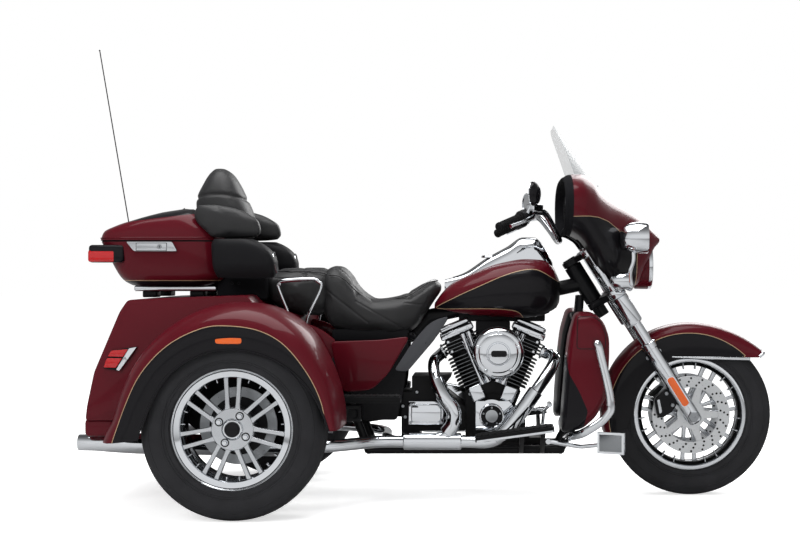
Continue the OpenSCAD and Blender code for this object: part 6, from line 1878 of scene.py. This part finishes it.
    def covers(self) -> None:
        """Add the cam cover's disc, lifter blocks, the bolts of the cases and covers, and the black covers above."""
        trim, right, left = Piece("engine_trim", "chrome"), (0, -1, 0), (0, 1, 0)
        cam, clutch = (268, -158.3, 318), (20, 176, 330)
        trim.stand(cam, right, (lathe([(40, -1), (40, 0.8), (24, 0.8), (24, -1)], 56), WRINKLE),
                   (lathe([(23, -1), (23, 1.4), (20, 2), (0, 2.4)], 40), SATIN),
                   (lathe([(47.5, -6), (47.5, 0), (45, 2.4), (42, 2.4), (40, 0.4)], 56), CHROME))
        for side, x, z in ((-1, 211, 404), (1, 334, 400)):
            lifter = block((-26, -126, -30), (26, -98, 30), 6, 3).turned("Y", side * 22.5)
            trim.add(lifter.moved((x, 0, z)), CHROME)
        self.bolts.ring(trim, self.bolts.cap_head(4, 4), cam, 33, 5, -1, STEEL, 18)
        cam_bolts = [(x, -165, z) for x in (-40, 74) for z in (296, 362)]
        self.bolts.put(trim, self.bolts.cap_head(5.5, 5), cam_bolts, right, STEEL)
        case_bolts = [(x, -100, z) for x, z in ((184, 398), (160, 236), (380, 236), (388, 292), (120, 330))]
        case_bolts += [(x, -103.5, z) for x, z in ((-74, 352), (-65, 310), (-20, 406), (52, 406), (93, 306),
                                                   (102, 344))]
        self.bolts.put(trim, self.bolts.cap_head(6, 6), case_bolts, right, STEEL)
        primary = [(20 + 92 * cos(a), 176, 330 + 92 * sin(a)) for a in np.radians(range(60, 301, 40))]
        primary += [(280 + 68 * cos(a), 176, 308 + 68 * sin(a)) for a in np.radians(range(-100, 101, 40))]
        self.bolts.put(trim, self.bolts.cap_head(6, 5), primary, left, STEEL)
        trim.stand(clutch, left, (lathe([(66, 0), (66, 3), (60, 6), (0, 8)], 56), CHROME)).build()
        inside = Piece("coil_and_wiring_covers", "black_plastic")
        inside.add(block((140, -44, 676), (476, 44, 722), 6), PLASTIC).add(block((206, -52, 590), (340, 52, 680), 8),
                PLASTIC)
        inside.add(plate(rounded(self.caddy, 14), 116, 121, 1.5).both(), PLASTIC)
        inside.add(block((-345, -130, 604), (-52, 130, 650), 8), PLASTIC).build()

    def exhaust(self) -> None:
        """Build the headers with port flanges, the balance pipe and the mufflers."""
        pipes = Piece("exhaust_system", "chrome")
        front = [self.spot(1, 75.4, -30, 312), self.spot(1, 104, -36, 312), (510, -88, 540), (500, -140, 508),
                 (446, -188, 432), (388, -196, 352), (330, -196, 278), (268, -196, 228), (160, -196, 226),
                 (-60, -196, 226), (-160, -200, 226), (-260, -280, 226), (-330, -334, 226), (-398, -350, 226)]
        pipes.add(tube(front, 23, 28, 6), CHROME)
        rear = [self.spot(-1, 75.4, -30, 312), self.spot(-1, 92, -40, 306), (46, -110, 522), (52, -168, 470),
                (84, -198, 400), (122, -202, 345), (122, -201, 296), (92, -199, 250), (30, -197, 230)]
        pipes.add(tube(rear, 22, 28, 6), CHROME)
        pipes.add(tube([(150, -196, 227), (-64, -196, 227)], 32, 32, 2), CHROME)
        for run in (front[4:8], rear[3:8]):
            ends = [np.array(run[0]) * 0.8 + np.array(run[1]) * 0.2, *run[1:-1], np.array(run[-2]) * 0.2
                    + np.array(run[-1]) * 0.8]
            pipes.add(tube(ends, 29, 28, 6), CHROME)
        cross = [(-90, -196, 226), (-124, -120, 228), (-140, -40, 229), (-152, 120, 229), (-220, 240, 228),
                 (-330, 334, 226), (-398, 350, 226)]
        pipes.add(tube(cross, 19, 24, 6), CHROME)
        for side in (-1, 1):
            flange = lathe([(0, 0), (30, 0), (30, 7), (0, 7)], 32)
            outward = self.spot(side, 1, 0, 0) - self.spot(side, 0, 0, 0)
            pipes.stand(self.spot(side, 75.6, -30, 312), outward, (flange, CHROME))
            start, end = np.array([-400, side * 350, 226.0]), np.array([REAR_X - 616, side * 350, 242.0])
            long = np.linalg.norm(end - start)
            can = [(0, 0), (25, 0), (28, 10), (37, 46), (38, 60), (38, long - 214), (36.4, long - 170),
                   (33.4, long - 110), (30.4, long - 66), (30, long - 50), (30, long - 2), (29, long), (26, long - 1),
                   (26, long - 58)]
            clamp = lathe([(24, -6), (31, -6), (31, 10), (24, 10)], 32)
            pipes.stand(start, end - start, (lathe(can, 48), CHROME),
                        (lathe([(26.2, long - 56), (0, long - 56)], 32), DARK), (clamp, STEEL))
        pipes.build("exhaust")

    def build(self) -> None:
        """Build the whole engine."""
        self.cylinder(-1)
        self.cylinder(1)
        self.rockers()
        self.air_cleaner()
        self.covers()
        self.exhaust()


@dataclass
class LowerBody:
    """Lower fairings, guard, footboard pads, side covers, deflectors and grab rails."""

    bolts: Bolts
    lower: Rows = ((577, 721), (642, 721), (681, 687), (701, 629), (701, 561), (696, 470), (687, 399), (650, 332),
                   (602, 289), (522, 272), (528, 380), (536, 470), (540, 539), (552, 635))
    lower_rings: Rows = ((158, 0.8), (182, 0.93), (260, 1), (344, 0.99), (380, 0.93), (392, 0.8))
    guard: Rows = ((556, 132, 232), (562, 300, 258), (606, 408, 286), (680, 414, 340), (698, 414, 400),
                   (662, 414, 568), (652, 408, 604), (650, 392, 610))
    lower_split: Rows = ((272, 604), (296, 604), (360, 620), (431, 589), (502, 549), (605, 541), (724, 569))
    lower_door: Rows = ((580, 706), (578, 588), (682, 588), (684, 640), (664, 690), (638, 706))
    side_cover: Rows = ((-343, 606), (-300, 415), (-186, 423), (-124, 482), (-40, 626), (-155, 612))
    cover_tail: Rows = ((-464, 681), (-408, 666), (-367, 645), (-322, 610), (-330, 540), (-464, 540))
    deflector: Rows = ((107, 703), (60, 690), (27, 670), (-30, 605), (-100, 498), (-50, 493), (52, 613))
    rail: Rows = ((216, -489, 688, 5), (216, -536, 806, 5.5), (216, -534, 822, 6.5), (216, -518, 835, 8),
                  (216, -414, 841, 8), (216, -388, 832, 6.5), (216, -377, 808, 5.5), (212, -424, 708, 5),
                  (205, -434, 672, 5))

    def lowers(self) -> None:
        """Build the lower fairings: red outside, black towards the engine, with a door line."""
        flat = rounded(self.lower, 22, 5)
        mid = flat.mean(0)
        levels = [*smooth_table(self.lower_rings, 26), *[(392.2, 0.8 * k) for k in np.linspace(0.94, 0.02, 16)]]
        rings = [np.insert(mid + (flat - mid) * s, 1, y, axis=1) for y, s in levels]
        lowers = Piece("lower_fairing_shells", "paint_red")
        lowers.add(outwards(lofted(rings)).both(), SPLIT_PAINT)
        line = np.array([(x, 392.3, z) for x, z in rounded(self.lower_door, 14)])
        lowers.add(ring_tube(line, 1.5, 6).both(), DARK)
        split = np.array(self.lower_split, float).T
        behind = lambda p: np.maximum(np.interp(p[:, 2], *split) - p[:, 0], 190 - np.abs(p[:, 1]))
        lowers.build("lower_fairings", panel=behind)

    def rails(self) -> None:
        """Build the engine guard and the grab rails."""
        Piece("engine_guard_tube", "chrome").add(tube(self.guard, 16, 24, 8).both(), CHROME).build("engine_guard")
        bar = tube([(x, y, z) for y, x, z, _ in self.rail], [r for *_, r in self.rail], 16, 8)
        Piece("grab_rail_tubes", "chrome").add(bar.both(), CHROME).build("grab_rails")

    def covers(self) -> None:
        """Build the side covers and the air deflectors."""
        covers = Piece("side_cover_panels", "paint_red")
        covers.add(plate(rounded(self.side_cover, 26, 5), 206, 217, 5, 3).both(), RED)
        for x, z, y in ((-200, 596, 121), (-290, 455, 134)):
            post = lathe([(0, 0), (9, 0), (9, 207 - y), (0, 207 - y)], 16)
            covers.stand((x, y, z), (0, 1, 0), (post, FRAME), both=True)
        covers.build("side_covers")
        tail = Piece("side_cover_tails", "paint_red")
        tail.add(plate(rounded(self.cover_tail, 14, 4), 199, 207, 3, 2).both(), RED).build()
        wind = Piece("air_deflector_panels", "grey_plastic")
        wind.add(plate(rounded(self.deflector, 16, 4), 228, 233.5, 2.5, 2).both(), GREY)
        wind.add(tube([(-44, 121, 622), (24, 230, 600)], 7, 14, 2).both(), FRAME)
        wind.build("air_deflectors")

    def boards(self) -> None:
        """Add rubber pads with ribs and bright edge strips on the footboards and pedals."""
        pads = Piece("footboard_pads", "rubber")
        lay = lambda s: s.turned("Y", -7.7).moved((208, 280, 246)).both()
        pads.add(lay(plate(oblong(6, 6, 286, 104, 20), -21, -17.6, 1).turned("X", -90)), RUBBER)
        bar = block((-3, -40, 0), (3, 40, 3), 1, 1)
        spots = unturned((26.0 + 24 * k, 55.0, 20.6) for k in range(11))
        pads.add(lay(self.bolts.run(bar, spots, RUBBER)), RUBBER)
        pads.add(lay(block((4, 106, -2), (288, 114, 7), 2)), CHROME).add(lay(block((4, 106, 8), (288, 113, 18), 2)),
                RUBBER)
        pads.add(block((-43, -9, -31), (43, -6, 31), 1).turned("Z", -24).moved((708, -330, 236)), FINNED)
        rest = plate(oblong(-288, 290, -72, 372, 14), -413, -409.6, 1).turned("X", -90)
        pads.add(rest.both(), RUBBER)
        spots = unturned((-272.0 + 23 * k, 331.0, 412.4) for k in range(9))
        pads.add(self.bolts.run(bar.scaled((1, 0.9, 1), (0, 0, 0)), spots, RUBBER).both(), RUBBER)
        pads.add(block((-290, 374, 390), (-70, 378, 410), 1.5).both(), RUBBER)
        pads.build()

    def build(self) -> None:
        """Build all of it."""
        self.lowers()
        self.rails()
        self.covers()
        self.boards()


PLAIN_NODES: dict[str, tuple[Finish, str, float]] = {
    "frame": (FRAME, "frame_black", 0.0), "crankcase": (WRINKLE, "engine_black", 3.0),
    "engine_covers": (CHROME, "chrome", 3.0), "primary_cover": (CHROME, "chrome", 5.0),
    "gearbox": (WRINKLE, "engine_black", 4.0), "pushrod_tubes": (CHROME, "chrome", 0.0),
    "footboards": (FRAME, "rubber", 2.0), "foot_controls": (CHROME, "chrome", 0.0),
    "swingarm": (FRAME, "frame_black", 3.0), "rear_axle": (FRAME, "frame_black", 0.0),
    "rear_shocks": (FRAME, "frame_black", 0.0), "drive_belt": (RUBBER, "rubber", 0.0),
}


def dress_node(source: Object, node: str) -> None:
    """Set a merged, edge-rounded copy of a solid in its finish in the solid's place.

    Args:
        source: the solid's own object, left as it is.
        node: its name.
    """
    finish, slot, bevel = PLAIN_NODES[node]
    bm = bmesh.new()
    bm.from_mesh(source.data)
    bmesh.ops.remove_doubles(bm, verts=bm.verts, dist=0.02 * MM)
    bmesh.ops.dissolve_limit(bm, angle_limit=radians(0.5), verts=bm.verts, edges=bm.edges)
    mesh = bpy.data.meshes.new(node)
    bm.to_mesh(mesh)
    bm.free()
    shape = from_mesh(mesh)
    bpy.data.meshes.remove(mesh)
    if bevel:
        shape = bevelled(shape, bevel, 2, 40)
    Piece(f"{node}_cast", slot).add(shape, finish).build(node)


@dataclass
class Studio:
    """White floor and surroundings, lamps and the camera of the photograph."""

    camera_at: Point = (0.246, -5.607, 0.880)
    lens_mm: float = 64.26
    shift: Point = (-0.1075, -0.01)

    def world(self) -> None:
        """Light the scene plainly in white; gloss mirrors a room that is bright in front, dim behind and overhead."""
        world = bpy.data.worlds.new("studio")
        bpy.context.scene.world = world
        tree = cleared(world)
        way = add_node(tree, "ShaderNodeSeparateXYZ",
                       links={0: add_node(tree, "ShaderNodeTexCoord").outputs["Generated"]})
        room = add_node(tree, "ShaderNodeMapRange", {1: -0.9, 2: 0.3, 3: 0.86, 4: 0.3}, {0: way.outputs["Y"]})
        sky = add_node(tree, "ShaderNodeMapRange", {1: 0.3, 2: 0.85, 3: 1.0, 4: 0.3}, {0: way.outputs["Z"]})
        mirrored = add_node(tree, "ShaderNodeMath", {"operation": "MULTIPLY"},
                            {0: room.outputs[0], 1: sky.outputs[0]})
        path = add_node(tree, "ShaderNodeLightPath")
        gloss = add_node(tree, "ShaderNodeMix", {2: 1.0}, {0: path.outputs["Is Glossy Ray"], 3: mirrored.outputs[0]})
        level = add_node(tree, "ShaderNodeMix", {3: 0.5}, {0: path.outputs["Is Diffuse Ray"], 2: gloss.outputs[0]})
        back = add_node(tree, "ShaderNodeBackground", {"Color": (1, 1, 1, 1)}, {"Strength": level.outputs[0]})
        add_node(tree, "ShaderNodeOutputWorld", links={0: back.outputs[0]})

    def floor(self) -> None:
        """Lay a white floor that keeps soft contact shadows."""
        mesh = bpy.data.meshes.new("studio_floor")
        mesh.from_pydata([(-16, -9, 0), (16, -9, 0), (16, 40, 0), (-16, 40, 0)], [], [(0, 1, 2, 3)])
        floor = linked("studio_floor", mesh)
        material = bpy.data.materials.new("white_paper_floor")
        tree = cleared(material)
        paper = add_node(tree, "ShaderNodeBsdfDiffuse", {"Color": (0.86, 0.86, 0.86, 1)})
        light = add_node(tree, "ShaderNodeEmission", {"Color": (1, 1, 1, 1), "Strength": 0.62})
        both = add_node(tree, "ShaderNodeAddShader", links={0: paper.outputs[0], 1: light.outputs[0]})
        dim = add_node(tree, "ShaderNodeBsdfDiffuse", {"Color": (0.5, 0.5, 0.5, 1)})
        path = add_node(tree, "ShaderNodeLightPath")
        bounced = add_node(tree, "ShaderNodeMixShader", links={
            0: path.outputs["Is Glossy Ray"], 1: paper.outputs[0], 2: dim.outputs[0]})
        pick = add_node(tree, "ShaderNodeMixShader", links={
            0: path.outputs["Is Camera Ray"], 1: bounced.outputs[0], 2: both.outputs[0]})
        add_node(tree, "ShaderNodeOutputMaterial", links={0: pick.outputs[0]})
        mesh.materials.append(material)

    def lamp(self, name: str, at: Point, target: Point, size: float, watts: float, mirrored: bool = True) -> None:
        """Hang a soft area lamp that looks at a target, and say whether gloss mirrors it."""
        data = bpy.data.lights.new(name, "AREA")
        data.energy, data.size, data.shape = watts, size, "SQUARE"
        lamp = linked(name, data)
        lamp.location = at
        lamp.rotation_euler = (Vector(target) - Vector(at)).to_track_quat("-Z", "Y").to_euler()
        lamp.visible_glossy = mirrored

    def camera(self) -> None:
        """Set the camera where the photograph was taken from."""
        data = bpy.data.cameras.new("camera")
        data.lens, data.sensor_width = self.lens_mm, 36
        data.shift_x, data.shift_y = self.shift
        camera = linked("camera", data)
        camera.location = self.camera_at
        camera.rotation_euler = (pi / 2, 0, 0)
        bpy.context.scene.camera = camera

    def build(self) -> None:
        """Set the stage."""
        bpy.context.scene.view_settings.view_transform = "Standard"
        self.world()
        self.floor()
        self.lamp("overhead_softbox", (-0.2, -0.4, 4.2), (0, 0, 0.4), 3.6, 190)
        self.lamp("front_key", (-2.6, -4.6, 3.0), (0, 0, 0.6), 2.2, 130, False)
        self.lamp("rear_rim", (1.8, 3.6, 2.6), (0, 0, 0.7), 2.4, 90)
        self.camera()


def main() -> None:
    """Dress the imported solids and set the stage."""
    logging.basicConfig(level=logging.INFO, format="%(message)s")
    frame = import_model()
    bolts = Bolts()
    Wheels(bolts).build()
    front = FrontEnd(bolts)
    front.fork()
    front.calipers()
    front.fender()
    Fairing(bolts).build()
    Cockpit(bolts).build()
    Tank().build()
    case = LuggageCase(bolts)
    case.build()
    Upholstery(bolts).build(case)
    RearBody(bolts).build(case)
    Engine(bolts).build()
    LowerBody(bolts).build()
    for node in PLAIN_NODES:
        dress_node(frame["nodes"][node], node)
    Studio().build()


if __name__ == "__main__":
    main()
